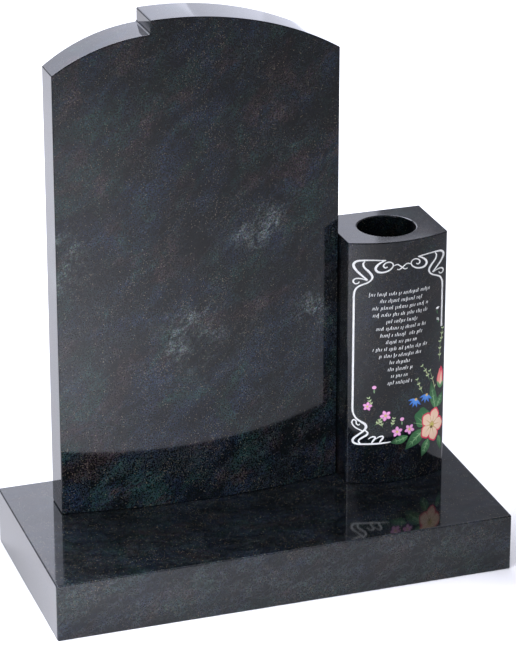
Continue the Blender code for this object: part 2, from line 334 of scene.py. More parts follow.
# %% Headstone sizes
bed_joint = 0.3 * mm
margin_left_of_slab = 62 * mm
margin_behind_slab = 59 * mm
stone_foot = base_height + bed_joint
slab_left = -base_width / 2 + margin_left_of_slab
slab_back = base_depth / 2 - margin_behind_slab
slab_width = 393 * mm
slab_end_depth = 48 * mm
slab_bow = 19 * mm
shoulder_height = 620 * mm
lower_arch_rise = 48 * mm
step_rise = 19 * mm
step_across = 128 * mm
lower_crown_past_step = 16 * mm
upper_crown_past_step = 30 * mm
slab_edge = 1.8 * mm
slab_corner = 2.2 * mm
step_cove = 3 * mm
print("the headstone stands", round(stone_foot / mm, 1), "mm up and is", round(slab_width / mm), "mm wide")

# %% [markdown]
# ### The stepped outline
#
# Seen from the front, the top is two flat arcs, with a small cove where the lower one meets the step. A curve
# object could be pulled into that shape by eye, but its sizes would then be hidden in its handles. Here each
# arc is worked out from its two ends and from how far its crown stands past the step.

# %% Headstone outline
side_steps = 24
lower_arch_steps = 24
upper_arch_steps = 48


def arch(crown, start, end, steps):
    """Points, outward normals and end headings of an arc through two (x, z) points, crowned at x = crown.

    With a and b the ends' distances from the crown line, the centre's height is
    (a^2 + z1^2 - b^2 - z2^2) / (2 (z1 - z2)). The arc runs from the first point to the last.
    """
    a, b = start[0] - crown, end[0] - crown
    centre = np.array([crown, (a * a + start[1] ** 2 - b * b - end[1] ** 2) / (2 * (start[1] - end[1]))])
    radius = math.hypot(a, start[1] - centre[1])
    angle = np.linspace(math.atan2(start[1] - centre[1], a), math.atan2(end[1] - centre[1], b), steps + 1)
    outward = np.stack([np.cos(angle), np.sin(angle)], axis=1)
    heading = left_of(outward)
    return centre + radius * outward, outward, heading[0], heading[-1]


def slab_outline():
    """The closed outline in x and z from the lower left corner, anticlockwise, seen from the front."""
    lower_left, lower_right = (0, 0), (slab_width, 0)
    left_shoulder, right_shoulder = (0, shoulder_height), (slab_width, shoulder_height)
    step_foot = (step_across, shoulder_height + lower_arch_rise)
    step_top = (step_across, shoulder_height + lower_arch_rise + step_rise)
    upper = arch(step_across + upper_crown_past_step, right_shoulder, step_top, upper_arch_steps)
    lower = arch(step_across + lower_crown_past_step, step_foot, left_shoulder, lower_arch_steps)
    return joined([
        round_corner(lower_left, (0, -1), (1, 0), slab_corner),
        straight_run(lower_left, lower_right, (0, -1), side_steps),
        round_corner(lower_right, (1, 0), (0, 1), slab_corner),
        straight_run(lower_right, right_shoulder, (1, 0), side_steps),
        round_corner(right_shoulder, (0, 1), upper[2], slab_corner),
        (upper[0][1:-1], upper[1][1:-1]),
        round_corner(step_top, upper[3], (0, -1), slab_corner),
        round_corner(lower[0][0], (0, -1), lower[2], step_cove),
        (lower[0][1:-1], lower[1][1:-1]),
        round_corner(left_shoulder, lower[3], (0, -1), slab_corner),
        straight_run(left_shoulder, lower_left, (-1, 0), side_steps),
    ])


outline, outline_out = slab_outline()
print("its outline has", len(outline), "points and stands", round(outline[:, 1].max() / mm, 1), "mm high")

# %% [markdown]
# ### The bowed face and its rim
#
# The face is part of a wide cylinder, so it swells forward between its two sides. The rim is where the polish
# shows most, because light runs along it. A Boolean with a cylinder would leave the rim a hard corner. So the
# rim is swept instead: at each point of the outline it turns from the side's own direction to the face's.

# %% Bowed face and rim


def bow_radius(width, bow):
    """Radius of the circle through both ends and the crown of a bow: (half^2 + bow^2) / (2 bow)."""
    return ((width / 2) ** 2 + bow ** 2) / (2 * bow)


slab_bow_radius = bow_radius(slab_width, slab_bow)
slab_bow_axis = (slab_left + slab_width / 2, slab_back - slab_end_depth - slab_bow + slab_bow_radius)


def bow_front(x, axis, radius):
    """y of a bowed face at x, and its outward normal: y = axis y - sqrt(radius^2 - (x - axis x)^2)."""
    side = x - axis[0]
    reach = np.sqrt(radius ** 2 - side ** 2)
    return axis[1] - reach, np.stack([side / radius, -reach / radius, np.zeros_like(side)], axis=-1)


def turn_between(first, last, steps):
    """Unit directions that turn evenly from one to another, with t from 0 to 1 and w the angle between them.

    direction = (sin((1 - t) w) * first + sin(t w) * last) / sin w
    """
    angle = np.arccos(np.clip(np.einsum("ij,ij->i", first, last), -1, 1))[:, None]
    share = np.linspace(0, 1, steps + 1)[:, None, None]
    return (np.sin((1 - share) * angle) * first + np.sin(share * angle) * last) / np.sin(angle)


def slab_rim(edge, steps=5):
    """The rim of the slab as a grid, from the flat back round the sides to the bowed face.

    Each edge round has its centre one radius inside the rim and one inside the face that it runs into, and
    point = centre + radius * direction, while the direction turns from the rim's normal to the face's.
    """
    x, z = slab_left + outline[:, 0], stone_foot + outline[:, 1]
    out = np.stack([outline_out[:, 0], np.zeros(len(outline)), outline_out[:, 1]], axis=1)
    inner_x, inner_z = x - edge * out[:, 0], z - edge * out[:, 2]
    behind = np.tile([0.0, 1.0, 0.0], (len(outline), 1))
    back_turn = turn_between(behind, out, steps)
    back_centre = np.stack([inner_x, np.full_like(x, slab_back - edge), inner_z], axis=1)
    centre_y, ahead = bow_front(inner_x, slab_bow_axis, slab_bow_radius - edge)
    front_turn = turn_between(out, ahead, steps)
    front_centre = np.stack([inner_x, centre_y, inner_z], axis=1)
    points = np.concatenate([back_centre + edge * back_turn, front_centre + edge * front_turn])
    return points, np.concatenate([back_turn, front_turn])


print("the face bows on a radius of", round(slab_bow_radius / mm), "mm")

# %% [markdown]
# ### Back, rim and face in one stone
#
# The polished face is one unbroken sheet, and a facet would show as a dent in what it mirrors. A Subdivision
# Surface could smooth it, but it would pull the crisp step out of shape. Here the exact normals of the
# cylinder go with every corner, so triangles of a few millimetres are enough.

# %% Headstone
face_spacing = 8 * mm
least_share_of_spacing = 0.45
merge_distance = 1e-5


def filled_face(loop, spacing):
    """Delaunay triangles over a closed loop of flat points, with an even spread of inner points.

    Returns the flat points, in which those of the loop keep their exact values, and the triangles.
    """
    loop = np.asarray(loop, float)
    low, high = loop.min(axis=0), loop.max(axis=0)
    across = np.arange(low[0] + spacing, high[0] - spacing / 2, spacing)
    upward = np.arange(low[1] + spacing, high[1] - spacing / 2, spacing)
    spread = np.stack(np.meshgrid(across, upward), axis=-1).reshape(-1, 2)
    gap = np.sqrt(((spread[:, None] - loop[None]) ** 2).sum(axis=2)).min(axis=1)
    given = np.concatenate([loop, spread[gap > spacing * least_share_of_spacing]])
    border = list(range(len(loop)))
    found = delaunay_2d_cdt([Vector(point) for point in given / mm], [], [border], 1, merge_distance, True)
    points = np.array([tuple(point) for point in found[0]]) * mm
    known = np.array([ids[0] if ids else -1 for ids in found[3]])
    points[known >= 0] = given[known[known >= 0]]
    triangles = np.array([face for face, ids in zip(found[2], found[5]) if ids])
    used, triangles = np.unique(triangles, return_inverse=True)
    return points[used], triangles.reshape(-1, 3)


def make_headstone():
    """Rim, flat back and bowed face, which lies at y = bow_front(x) over each triangle's corner."""
    rim, rim_normals = slab_rim(slab_edge)
    rows, columns = rim.shape[:2]
    flat, triangles = filled_face(rim[-1][:, [0, 2]], face_spacing)
    y, normals = bow_front(flat[:, 0], slab_bow_axis, slab_bow_radius)
    face = np.stack([flat[:, 0], y, flat[:, 1]], axis=1)
    patches = [
        patch(rim, grid_quads(rows, columns), rim_normals.reshape(-1, 3)),
        flat_end(rim[0], (0, 1, 0)),
        patch(face, triangles, normals),
    ]
    return make_stone("headstone_stone", patches, "headstone")


headstone_stone = make_headstone()

# %% [markdown]
# ## The vase pillar's sides, top and flower well
#
# The pillar has the same kind of bowed face, more strongly curved, and a round well drilled down into its
# flat top. Cutting the well with a Boolean would leave long thin faces round the rim, and they break up a
# mirror-smooth top. Instead the top is a ruled surface: each point of the plan is joined to the point of the
# well's rim that lies in the same direction from the well's centre. From there the same columns run over the
# rim, down the wall and round to the floor.

# %% Pillar sizes
side_joint = 1.5 * mm
margin_behind_pillar = 35 * mm
pillar_width = 144 * mm
pillar_bow = 17 * mm
pillar_height = 355 * mm
pillar_depth = 122 * mm
pillar_corner = 5 * mm
pillar_back_corner = 2 * mm
pillar_edge = 1.6 * mm
pillar_left = slab_left + slab_width + side_joint
pillar_back = base_depth / 2 - margin_behind_pillar
pillar_middle = pillar_left + pillar_width / 2
pillar_top = stone_foot + pillar_height
pillar_bow_radius = bow_radius(pillar_width, pillar_bow)
pillar_bow_axis = (pillar_middle, pillar_back - pillar_depth + pillar_bow_radius)
print("the pillar's top is", round(pillar_top / mm, 1), "mm up")

# %% [markdown]
# ### The pillar's plan
#
# Seen from above, the pillar has a bowed front, two rounded front corners, straight sides and a straight
# back. The front corners are softer than the others, and each is an arc that touches both the bow and the
# side. The bow's columns come first and are evenly spread, because the carved panel takes their place on the
# face and has to meet the foot and the top at the same points.

# %% Pillar plan
face_columns = 36
pillar_side_steps = 18
pillar_back_steps = 24


def face_half():
    """Half the bow's length between its rounded corners: bow radius * asin(reach of their centres).

    reach = (half width - corner radius) / (bow radius - corner radius)
    """
    reach = (pillar_width / 2 - pillar_corner) / (pillar_bow_radius - pillar_corner)
    return pillar_bow_radius * math.asin(reach)


face_reach = face_half()
face_across = np.linspace(-face_reach, face_reach, face_columns + 1)


def on_bow(across, depth):
    """x and y on the pillar's bow, and the outward direction there, with angle = across / radius.

    point = axis + (radius - depth) * (sin angle, -cos angle)
    """
    angle = across / pillar_bow_radius
    reach = pillar_bow_radius - depth
    outward = np.stack([np.sin(angle), -np.cos(angle)], axis=-1)
    return np.asarray(pillar_bow_axis) + np.asarray(reach)[..., None] * outward, outward


def front_corner(side, steps=6):
    """The round from the bow to a side: its centre lies one corner radius inside both of them."""
    touch, outward = on_bow(np.array(side * face_reach), np.array(0.0))
    centre = touch - pillar_corner * outward
    start = math.atan2(outward[1], outward[0])
    end = 0.0 if side > 0 else -math.pi
    angle = np.linspace(start, end, steps + 1)[1:]
    outward = np.stack([np.cos(angle), np.sin(angle)], axis=1)
    return centre + pillar_corner * outward, outward


def pillar_plan():
    """The closed plan, anticlockwise from the left end of the bow."""
    right = front_corner(1)
    left = front_corner(-1)
    back_right = (pillar_left + pillar_width, pillar_back)
    back_left = (pillar_left, pillar_back)
    return joined([
        on_bow(face_across, np.zeros(face_columns + 1)),
        right,
        straight_run(right[0][-1], back_right, (1, 0), pillar_side_steps),
        round_corner(back_right, (0, 1), (-1, 0), pillar_back_corner),
        straight_run(back_right, back_left, (0, 1), pillar_back_steps),
        round_corner(back_left, (-1, 0), (0, -1), pillar_back_corner),
        straight_run(back_left, left[0][-1], (-1, 0), pillar_side_steps),
        (left[0][::-1], left[1][::-1]),
    ])


pillar_outline, pillar_out = pillar_plan()
print("its plan has", len(pillar_outline), "points; the bow is", round(2 * face_reach / mm, 1), "mm round")

# %% [markdown]
# ### The bored well
#
# A core drill leaves a straight wall, and the mason rounds the rim so that it can't chip. A cylinder could be
# spun for it, but then its columns wouldn't meet those of the pillar's top. Using the plan's own columns
# keeps the top free of thin triangles.

# %% Pillar body
well_radius = 40 * mm
well_depth = 150 * mm
well_rim = 2 * mm
well_fillet = 6 * mm
well_centre = np.array([pillar_middle, pillar_back - pillar_depth / 2])


def well_profile(steps=5):
    """Radius, height and normal (out from the axis, up) of the well's wall, as two quarter rounds.

    The rim's centre is one rim radius outside the wall and below the top. The fillet's centre is one fillet
    radius inside the wall and above the floor. Between the two rounds the wall is one straight strip.
    """
    rim = np.radians(np.linspace(90, 180, steps + 1))
    foot = np.radians(np.linspace(0, -90, steps + 1))
    floor = pillar_top - well_depth
    radius = np.concatenate([well_radius + well_rim * (1 + np.cos(rim)),
                             well_radius - well_fillet * (1 - np.cos(foot))])
    height = np.concatenate([pillar_top - well_rim * (1 - np.sin(rim)),
                             floor + well_fillet * (1 + np.sin(foot))])
    out = np.concatenate([np.cos(rim), -np.cos(foot)])
    return radius, height, out, np.concatenate([np.sin(rim), -np.sin(foot)])


def well_and_top(edge_row):
    """The ruled top from the edge's last row to the rim, and the columns on down the wall.

    Each column keeps its direction from the well's centre: ring = centre + radius * direction.
    """
    toward = edge_row[:, :2] - well_centre
    toward /= np.linalg.norm(toward, axis=1)[:, None]
    radius, drop, out, up = well_profile()
    ring = well_centre + radius[:, None, None] * toward[None]
    ring = np.concatenate([ring, np.broadcast_to(drop[:, None, None], ring.shape[:2] + (1,))], axis=2)
    ring_normals = np.concatenate([out[:, None, None] * toward[None],
                                   np.broadcast_to(up[:, None, None], ring.shape[:2] + (1,))], axis=2)
    points = np.concatenate([edge_row[None], ring])
    level = np.broadcast_to([0.0, 0.0, 1.0], (1, len(edge_row), 3))
    quads = grid_quads(len(points), len(edge_row))
    well = patch(points, quads, np.concatenate([level, ring_normals]).reshape(-1, 3))
    return well, flat_end(ring[-1], (0, 0, 1))


def pillar_body():
    """Sides without the carved panel, the foot, and the top that runs on into the well."""
    side = quarter_rounds(stone_foot, pillar_top, pillar_edge)
    points, normals = carry_round(pillar_outline, pillar_out, *side)
    rows, columns = points.shape[:2]
    quads = grid_quads(rows, columns)
    kept = np.ones(quads.shape[:2], bool)
    kept[rows // 2 - 1, :face_columns] = False
    sides = patch(points, quads[kept], normals.reshape(-1, 3))
    well, well_floor = well_and_top(points[-1])
    return [sides, flat_end(points[0], (0, 0, -1)), well, well_floor]


body_patches = pillar_body()
print("the well is", round(2 * well_radius / mm), "mm wide and", round(well_depth / mm), "mm deep")

# %% [markdown]
# ## The scroll border
#
# The face carries a scroll border, cut a millimetre deep and painted white. Its lines swell and thin like pen
# strokes. Each one is a smooth curve through a few points, each with its own width, and the ribbon along it
# is a chain of small quads. A texture could only make the lines look cut and would leave the mesh flat, so
# the ribbons are really let into the face further down.

# %% Border helpers
border_side_margin = 6
border_foot_margin = 60
border_half = pillar_width / mm / 2 - border_side_margin
border_line = 2.8
lowest_line = pillar_height / mm - border_foot_margin
right_line_end = 137


def smooth_curve(points, steps=4):
    """Catmull-Rom curve through points, of which a, b, c and d are four in a row and t runs from b to c.

    (2 b + (c - a) t + (2 a - 5 b + 4 c - d) t^2 + (3 b - a - 3 c + d) t^3) / 2
    """
    keys = np.array([points[0]] + list(points) + [points[-1]], float)
    a, b, c, d = keys[:-3, None], keys[1:-2, None], keys[2:-1, None], keys[3:, None]
    t = (np.arange(steps) / steps)[None, :, None]
    run = b + ((c - a) * t + (2 * a - 5 * b + 4 * c - d) * t ** 2 + (3 * b - a - 3 * c + d) * t ** 3) / 2
    return np.concatenate([run.reshape(-1, keys.shape[1]), keys[-2:-1]])


def ribbon(curve):
    """Quads along a curve of (across, drop, width): each end of a quad is centre +- width / 2 * normal."""
    centre = curve[:, :2] * (1, -1)
    along = np.gradient(centre, axis=0)
    along /= np.linalg.norm(along, axis=1)[:, None]
    half = left_of(along) * curve[:, 2:3] / 2
    left, right = centre + half, centre - half
    return np.stack([right[:-1], right[1:], left[1:], left[:-1]], axis=1)


print("the border is", 2 * border_half, "mm wide, and its lowest line is", lowest_line, "mm below the top")

# %% [markdown]
# ### The border's lines
#
# The two upper corners mirror each other: a whip over the corner, a loop below it, a scroll and a wave that
# meet in the middle, and an inner band that runs down into the side line. Only the left side line goes on
# into a curled foot. The lines could be drawn as curve objects, but short lists of (across, drop, width) can
# be mirrored, and they move with the pillar's width and height.

# %% Scroll border


def upper_border(w):
    """Corner whip, loop, scroll and wave, and the inner band, of the right half, as (across, drop, width)."""
    whip = [(w - 43, 25.5, 1.6), (w - 30, 24.6, 1.8), (w - 16, 24.3, 2.2), (w - 5, 25.2, 2.8), (w, 28.4, 3.4),
            (w + 0.6, 33, 3.8), (w - 4, 40, 3.2), (w - 12, 47.4, 2.6), (w - 18.5, 53, 2.0)]
    loop = [(w - 17.5, 53.2, 1.6), (w - 9.5, 50.6, 1.8), (w - 2, 50.8, 2.0), (w + 1.2, 54.4, 2.2),
            (w - 1.6, 58, 2.0), (w - 5.8, 57.2, 1.8), (w - 7, 54.8, 1.4)]
    scroll = [(23.4, 25.6, 1.6), (29, 27.8, 2.2), (34.8, 32, 3.0), (37.2, 36.9, 3.4), (34.2, 41.3, 3.2),
              (28, 42.6, 2.6), (20.5, 41.2, 2.2), (15, 37.6, 2.0), (12.9, 33.5, 1.8), (14.5, 29.8, 1.8),
              (19, 28.2, 1.8), (24.2, 29.8, 2.0), (26.4, 33.4, 2.2), (23.8, 36.2, 2.2), (20.6, 34.8, 1.6)]
    wave = [(13.4, 34.6, 1.2), (7.5, 32.8, 1.6), (3.3, 35.0, 1.8), (-0.8, 38.4, 1.8), (-4.4, 40.4, 1.8),
            (-7.6, 39.4, 1.2)]
    band = [(w - 14.5, 25.6, 1.6), (w - 12.2, 29.4, 2.6), (w - 14, 35, 2.8), (w - 20.5, 41.4, 3.2),
            (w - 24.6, 47.8, 3.2), (w - 23, 52.8, 2.4), (w - 18, 56.8, 2.2), (w - 11, 59.6, 2.2),
            (w - 4.8, 63, 2.4), (w - 1, 69, border_line), (w, 77, border_line)]
    return [whip, loop, scroll, wave], band


def lower_border(w, d):
    """The foot that the left side line runs into, its loop, its inner band and two ripples; d is its drop."""
    foot = [(-w, d - 59, border_line), (-w + 0.2, d - 51, border_line), (-w + 2, d - 44, 2.6),
            (-w + 6, d - 38, 2.6), (-w + 11.5, d - 34, 3.0), (-w + 17.2, d - 30, 3.6),
            (-w + 18.8, d - 26, 3.8), (-w + 16.4, d - 21, 3.0), (-w + 10, d - 15.6, 2.6),
            (-w + 4, d - 10.8, 3.0), (-w + 0.8, d - 6.6, 3.4), (-w + 2, d - 2.4, 3.2),
            (-w + 6.8, d - 0.4, 2.8), (-w + 15, d, 2.6), (-w + 30, d, 2.6), (-w + 44, d - 0.4, 2.2),
            (-w + 54, d - 1.2, 1.2)]
    loop = [(-w + 14.6, d - 19.8, 1.6), (-w + 7, d - 23.2, 1.8), (-w + 1.6, d - 27.8, 2.0),
            (-w - 0.6, d - 32.8, 2.2), (-w + 1.4, d - 36.6, 2.0), (-w + 5, d - 35, 1.8),
            (-w + 5.6, d - 30.8, 1.8), (-w + 8.6, d - 28.6, 1.6), (-w + 10.4, d - 30.6, 1.2)]
    band = [(-w + 17.6, d - 20.8, 1.6), (-w + 20.8, d - 17.6, 2.6), (-w + 20, d - 14, 3.0),
            (-w + 14.4, d - 10.2, 2.8), (-w + 10, d - 7, 2.6), (-w + 9, d - 3.8, 2.4),
            (-w + 11, d - 1.2, 1.8)]
    ripple = np.array([(0, -7.2, 1.0), (4.2, -10.2, 2.0), (8.8, -10.4, 2.4), (9.6, -8.2, 2.6),
                       (6.8, -4.6, 2.6), (4.6, -1.2, 1.8)])
    first_ripple, second_ripple = 22, 33
    return foot, [loop, band, ripple + (first_ripple - w, d, 0), ripple + (second_ripple - w, d, 0)]


def border_curves():
    """Both upper halves, the left side line with its foot, and the shorter right side line."""
    foot, lower = lower_border(border_half, lowest_line)
    upper, band = upper_border(border_half)
    curves = [smooth_curve(points) for points in lower]
    for side in (-1, 1):
        curves += [smooth_curve(points) * (side, 1, 1) for points in upper]
        tail = smooth_curve(foot) if side < 0 else np.array([(border_half, right_line_end, border_line)])
        curves.append(np.vstack((smooth_curve(band) * (side, 1, 1), tail)))
    return curves


border_quads = np.concatenate([ribbon(curve) for curve in border_curves()])
print("the border is", len(border_quads), "short ribbon pieces")

# %% [markdown]
# ## Rows of strokes
#
# Fourteen centred rows of fine cuts fill the middle of the face. The part is a blank and carries no words, so
# a row is what one sees of fine carving from a few steps away: short leaning white strokes of uneven height,
# in groups. They could be typed with a text object, but then they would be letters. Here a few sums on each
# stroke's number give its height and lean, and no letter is formed.

# %% Rows of strokes
row_shares = (0.70, 0.48, 0.64, 0.62, 0.38, 0.58, 0.50, 0.37, 0.61, 0.48, 0.26, 0.29, 0.21, 0.28)
first_row_drop = 75
row_pitch = 10.1
mark_pitch = 2.3
mark_width = 0.95
mark_height = 3.6
tall_extra, usual_extra = 1.9, 0.2
long_foot = 1.5
usual_lean, lean_swing, foot_lean = 0.45, 0.5, 0.5
smallest_group, group_sizes = 4, 4


def row_marks():
    """Leaning strokes, row by row and centred, with a gap after each group.

    Some are taller and some reach lower, by the remainders of sums of stroke and row numbers. The head's lean
    is usual lean + swing * sin(2.4 * stroke number + row number).
    """
    marks = []
    for row, share in enumerate(row_shares):
        count = int(share * 2 * border_half / mark_pitch)
        number = np.arange(count)
        group = smallest_group + (row * 5 + number // 9) % group_sizes
        number = number[(number + row) % (group + 1) != group]
        across = (number - (count - 1) / 2) * mark_pitch
        tall = np.where((number * 7 + row * 3) % 5 == 0, tall_extra, usual_extra)
        deep = np.where((number * 5 + row) % 9 == 0, long_foot, 0.0)
        base = -(first_row_drop + row * row_pitch + mark_height / 2)
        lean = usual_lean + lean_swing * np.sin(number * 2.4 + row)
        top = np.stack([across + lean, np.full(len(number), base) + mark_height + tall], axis=1)
        foot = np.stack([across - foot_lean, base - deep], axis=1)
        half = np.array([mark_width / 2, 0])
        marks.append(np.stack([foot - half, foot + half, top + half, top - half], axis=1))
    return np.concatenate(marks)


mark_quads = row_marks()
print("there are", len(mark_quads), "strokes in", len(row_shares), "rows")

# %% [markdown]
# ## The painted flowers
#
# Round the foot of the face grows a spray of painted flowers: small pink blossoms on the left, two blue ones
# in the middle, a large cream blossom with a red edge on the right, and leaves and buds between them. It is
# paint and has no relief. A texture would do on a flat wall, but here each petal and leaf is an outline on
# the face, worked out from a few numbers, with one colour at its heart and another at its tip. The outlines
# become edges of the mesh, so the paint stays crisp at any distance.

# %% Paint colours


def paint_colour(red, green, blue):
    """A paint shade given in 0 to 255 as the eye reads it, turned to light: ((c + 0.055) / 1.055) ^ 2.4."""
    return ((np.array([red, green, blue]) / 255 + 0.055) / 1.055) ** 2.4


leaf_dark = paint_colour(20, 58, 34)
leaf_deep = paint_colour(36, 92, 54)
leaf_mid = paint_colour(70, 128, 76)
leaf_light = paint_colour(158, 192, 142)
leaf_pale = paint_colour(196, 200, 150)
pink_deep = paint_colour(178, 92, 160)
pink = paint_colour(236, 176, 206)
pink_pale = paint_colour(238, 170, 214)
tan = paint_colour(214, 178, 120)
blue_deep = paint_colour(24, 74, 170)
blue = paint_colour(96, 160, 232)
cream = paint_colour(250, 228, 196)
peach = paint_colour(246, 196, 166)
coral = paint_colour(236, 88, 104)
red_pink = paint_colour(222, 50, 84)
lime = paint_colour(206, 200, 88)
throat = paint_colour(112, 84, 40)
bud_white = paint_colour(226, 226, 220)
print("the middle leaf green as light:", leaf_mid.round(3))

# %% [markdown]
# ### Two outlines for everything painted
#
# A petal is a wavy disc, and a leaf, a stem or a vein is a long shape with a bent spine. With these two, each
# given by a few numbers, the whole spray can be drawn. Tracing each leaf point by point would take hundreds
# of numbers and be hard to change.

# %% Painted outlines


def compass(angle):
    """The unit direction at an angle: (cos, sin)."""
    return np.array([math.cos(angle), math.sin(angle)])


def disc(centre, across, upward, turn=0.0, waves=0, swell=0.0, points=18):
    """A closed outline: centre + turn * (across cos a, upward sin a) * (1 + swell cos(waves a))."""
    angle = np.linspace(0, 2 * np.pi, points, endpoint=False)
    reach = 1 + swell * np.cos(waves * angle)
    x, y = across * np.cos(angle) * reach, upward * np.sin(angle) * reach
    return np.stack([centre[0] + x * math.cos(turn) - y * math.sin(turn),
                     centre[1] + x * math.sin(turn) + y * math.cos(turn)], axis=1)


def leaf(start, turn, length, width, bend=0.0, points=10):
    """A leaf or stem: a spine whose heading is turn + bend * t, with half width width / 2 * sin(pi t^0.8)."""
    t = np.linspace(0, 1, points + 1)
    heading = turn + bend * t
    along = np.stack([np.cos(heading), np.sin(heading)], axis=1)
    step = along * length / points
    spine = np.asarray(start, float) + np.concatenate([np.zeros((1, 2)), np.cumsum(step[:-1], axis=0)])
    half = left_of(along) * (width / 2 * np.sin(np.pi * t ** 0.8))[:, None]
    return np.concatenate([(spine - half)[:-1], spine[-1:], (spine + half)[1:-1][::-1]])


painted = []
bare_edge = 0.4
paint_limit = face_across[-1] / mm - bare_edge


def add_paint(outline, heart, tip, centre=None, reach=None):
    """One painted shape, kept on the face; its colour runs from heart, at centre, to tip, a reach away."""
    outline = np.clip(outline, (-paint_limit, -np.inf), (paint_limit, np.inf))
    centre = outline.mean(axis=0) if centre is None else np.asarray(centre, float)
    reach = np.linalg.norm(outline - centre, axis=1).max() if reach is None else reach
    sweep = outline[:, 0] * np.roll(outline[:, 1], -1) - outline[:, 1] * np.roll(outline[:, 0], -1)
    painted.append((outline if sweep.sum() > 0 else outline[::-1], heart, tip, centre, reach))


print("paint stays within", round(paint_limit, 1), "mm of the face's middle line")

# %% [markdown]
# ### Leaves, sprigs and buds
#
# The painter lays a leaf down in one green, then draws its rib and veins lighter. The script paints in the
# same order, back to front, because a later shape covers an earlier one. Each plant could be its own list of
# outlines, but a function for each kind lets the plants differ only in place, size and turn.

# %% Leaves and sprigs
width_with_rib = 5
width_with_veins = 8


def add_leaf(start, turn, length, width, bend=0.0, shade=leaf_mid):
    """A leaf with a dark rim, a lighter rib along its middle if it is wide, and side veins if it is wider."""
    turn, bend = math.radians(turn), math.radians(bend)
    add_paint(leaf(start, turn, length, width, bend), shade, leaf_dark, start, length * 1.1)
    if width > width_with_rib:
        add_paint(leaf(start, turn, length * 0.86, width * 0.12, bend), leaf_light, leaf_mid, start, length)
    if width > width_with_veins:
        for t in (0.2, 0.4, 0.6):
            spot = np.asarray(start) + length * t * compass(turn + bend * t / 2)
            for side in (-1, 1):
                vein = leaf(spot, turn + bend * t + 0.7 * side, width * (0.5 - 0.25 * t), 0.8, 0, 4)
                add_paint(vein, leaf_light, leaf_mid)


def add_sprig(start, turn, length, bend=0.0, leaves=3):
    """A thin stem with pairs of small leaflets."""
    turn, bend = math.radians(turn), math.radians(bend)
    add_paint(leaf(start, turn, length, 0.9, bend), leaf_pale, leaf_mid)
    for i in range(leaves):
        t = (i + 1) / (leaves + 0.4)
        spot = np.asarray(start) + length * t * compass(turn + bend * t / 2)
        for side in (-1, 1):
            leaflet = leaf(spot, turn + bend * t + side * 0.75, 4.6 - 0.4 * i, 1.7, 0, 6)
            add_paint(leaflet, leaf_pale, leaf_light)


def add_bud(start, turn, length, width):
    """A closed bud: coral outer petals, a peach one over them, and two sepals at its foot."""
    turn = math.radians(turn)
    add_paint(leaf(start, turn, length, width), coral, red_pink, start, length)
    add_paint(leaf(start, turn + 0.10, length * 0.92, width * 0.62), peach, coral, start, length)
    add_paint(leaf(start, turn - 0.06, length * 0.80, width * 0.24), cream, peach, start, length)
    for side in (-1, 1):
        sepal = leaf(start, turn + 0.5 * side, length * 0.42, width * 0.3)
        add_paint(sepal, leaf_mid, leaf_light, start, length)


print("a leaf's outline has", len(leaf((0, 0), 0, 10, 4)), "points")

# %% [markdown]
# ### Blossoms
#
# The petals of a blossom stand round its heart at equal angles, each with a deeper edge under a lighter
# middle. One petal turned five times would do for all the kinds, but the blue flowers hang, so their petals
# fan out over part of a circle. The large blossom is a round one drawn taller than wide.

# %% Blossoms
petals = 5
bellflower_fan = 130


def add_blossom(centre, radius, turn):
    """A small pink blossom: rounded petals with a deeper edge, round a tan heart."""
    for i in range(petals):
        angle = math.radians(turn) + 2 * math.pi * i / petals
        middle = np.asarray(centre) + 0.56 * radius * compass(angle)
        add_paint(disc(middle, 0.46 * radius, 0.36 * radius, angle, 3, 0.06, 14), pink_deep, pink_deep)
        petal = disc(middle, 0.39 * radius, 0.29 * radius, angle, 3, 0.06, 12)
        add_paint(petal, pink, pink_pale, centre, radius)
    add_paint(disc(centre, 0.24 * radius, 0.24 * radius, points=8), tan, lime)


def add_bellflower(centre, radius, turn):
    """A blue flower that hangs from a small node: a fan of narrow petals."""
    for i in range(petals):
        angle = math.radians(turn + bellflower_fan * (i / (petals - 1) - 0.5))
        petal = leaf(centre, angle, 1.2 * radius, 0.34 * radius, 0.3, 7)
        add_paint(petal, blue, blue_deep, centre, 1.5 * radius)
    add_paint(disc(centre, 0.2 * radius, 0.2 * radius, points=8), tan, tan)


def add_large_blossom(centre, radius, turn, tall):
    """The large blossom: five wide wavy petals, cream with a coral rim and fine veins, round a lime heart."""
    centre = np.asarray(centre, float)

    def add_tall(outline, heart, tip, reach=radius * tall):
        """The whole flower is a round one whose heights are multiplied by tall."""
        add_paint(centre + (outline - centre) * (1, tall), heart, tip, centre, reach)

    for scale, heart, tip in ((1.0, coral, red_pink), (0.80, cream, peach)):
        for i in range(petals):
            angle = math.radians(turn) + 2 * math.pi * i / petals
            middle = centre + 0.54 * radius * compass(angle)
            petal = disc(middle, 0.46 * radius * scale, 0.42 * radius * scale, angle, 5, 0.06, 22)
            add_tall(petal, heart, tip)
    for i in range(2 * petals):
        angle = math.radians(turn) + math.pi * i / petals
        add_tall(leaf(centre, angle, 0.7 * radius, 0.07 * radius, 0.15, 6), tan, peach)
    add_tall(disc(centre, 0.20 * radius, 0.20 * radius, 0, 5, 0.1, 12), lime, tan, 0.25 * radius)
    low = centre - (0.04 * radius, 0.12 * radius)
    add_tall(disc(low, 0.10 * radius, 0.09 * radius, points=8), throat, throat)


print("a small blossom is", 2 * petals + 1, "shapes")

# %% [markdown]
# ### Where each plant stands
#
# The spray climbs the right side and thins out to the left, as the painter arranged it. The plants could be
# scattered at random within that area, but then the picture would lose its large blossom, its leaning sprigs
# and the pink ones by the left foot. So each has its own row in a table.

# %% The spray's plants

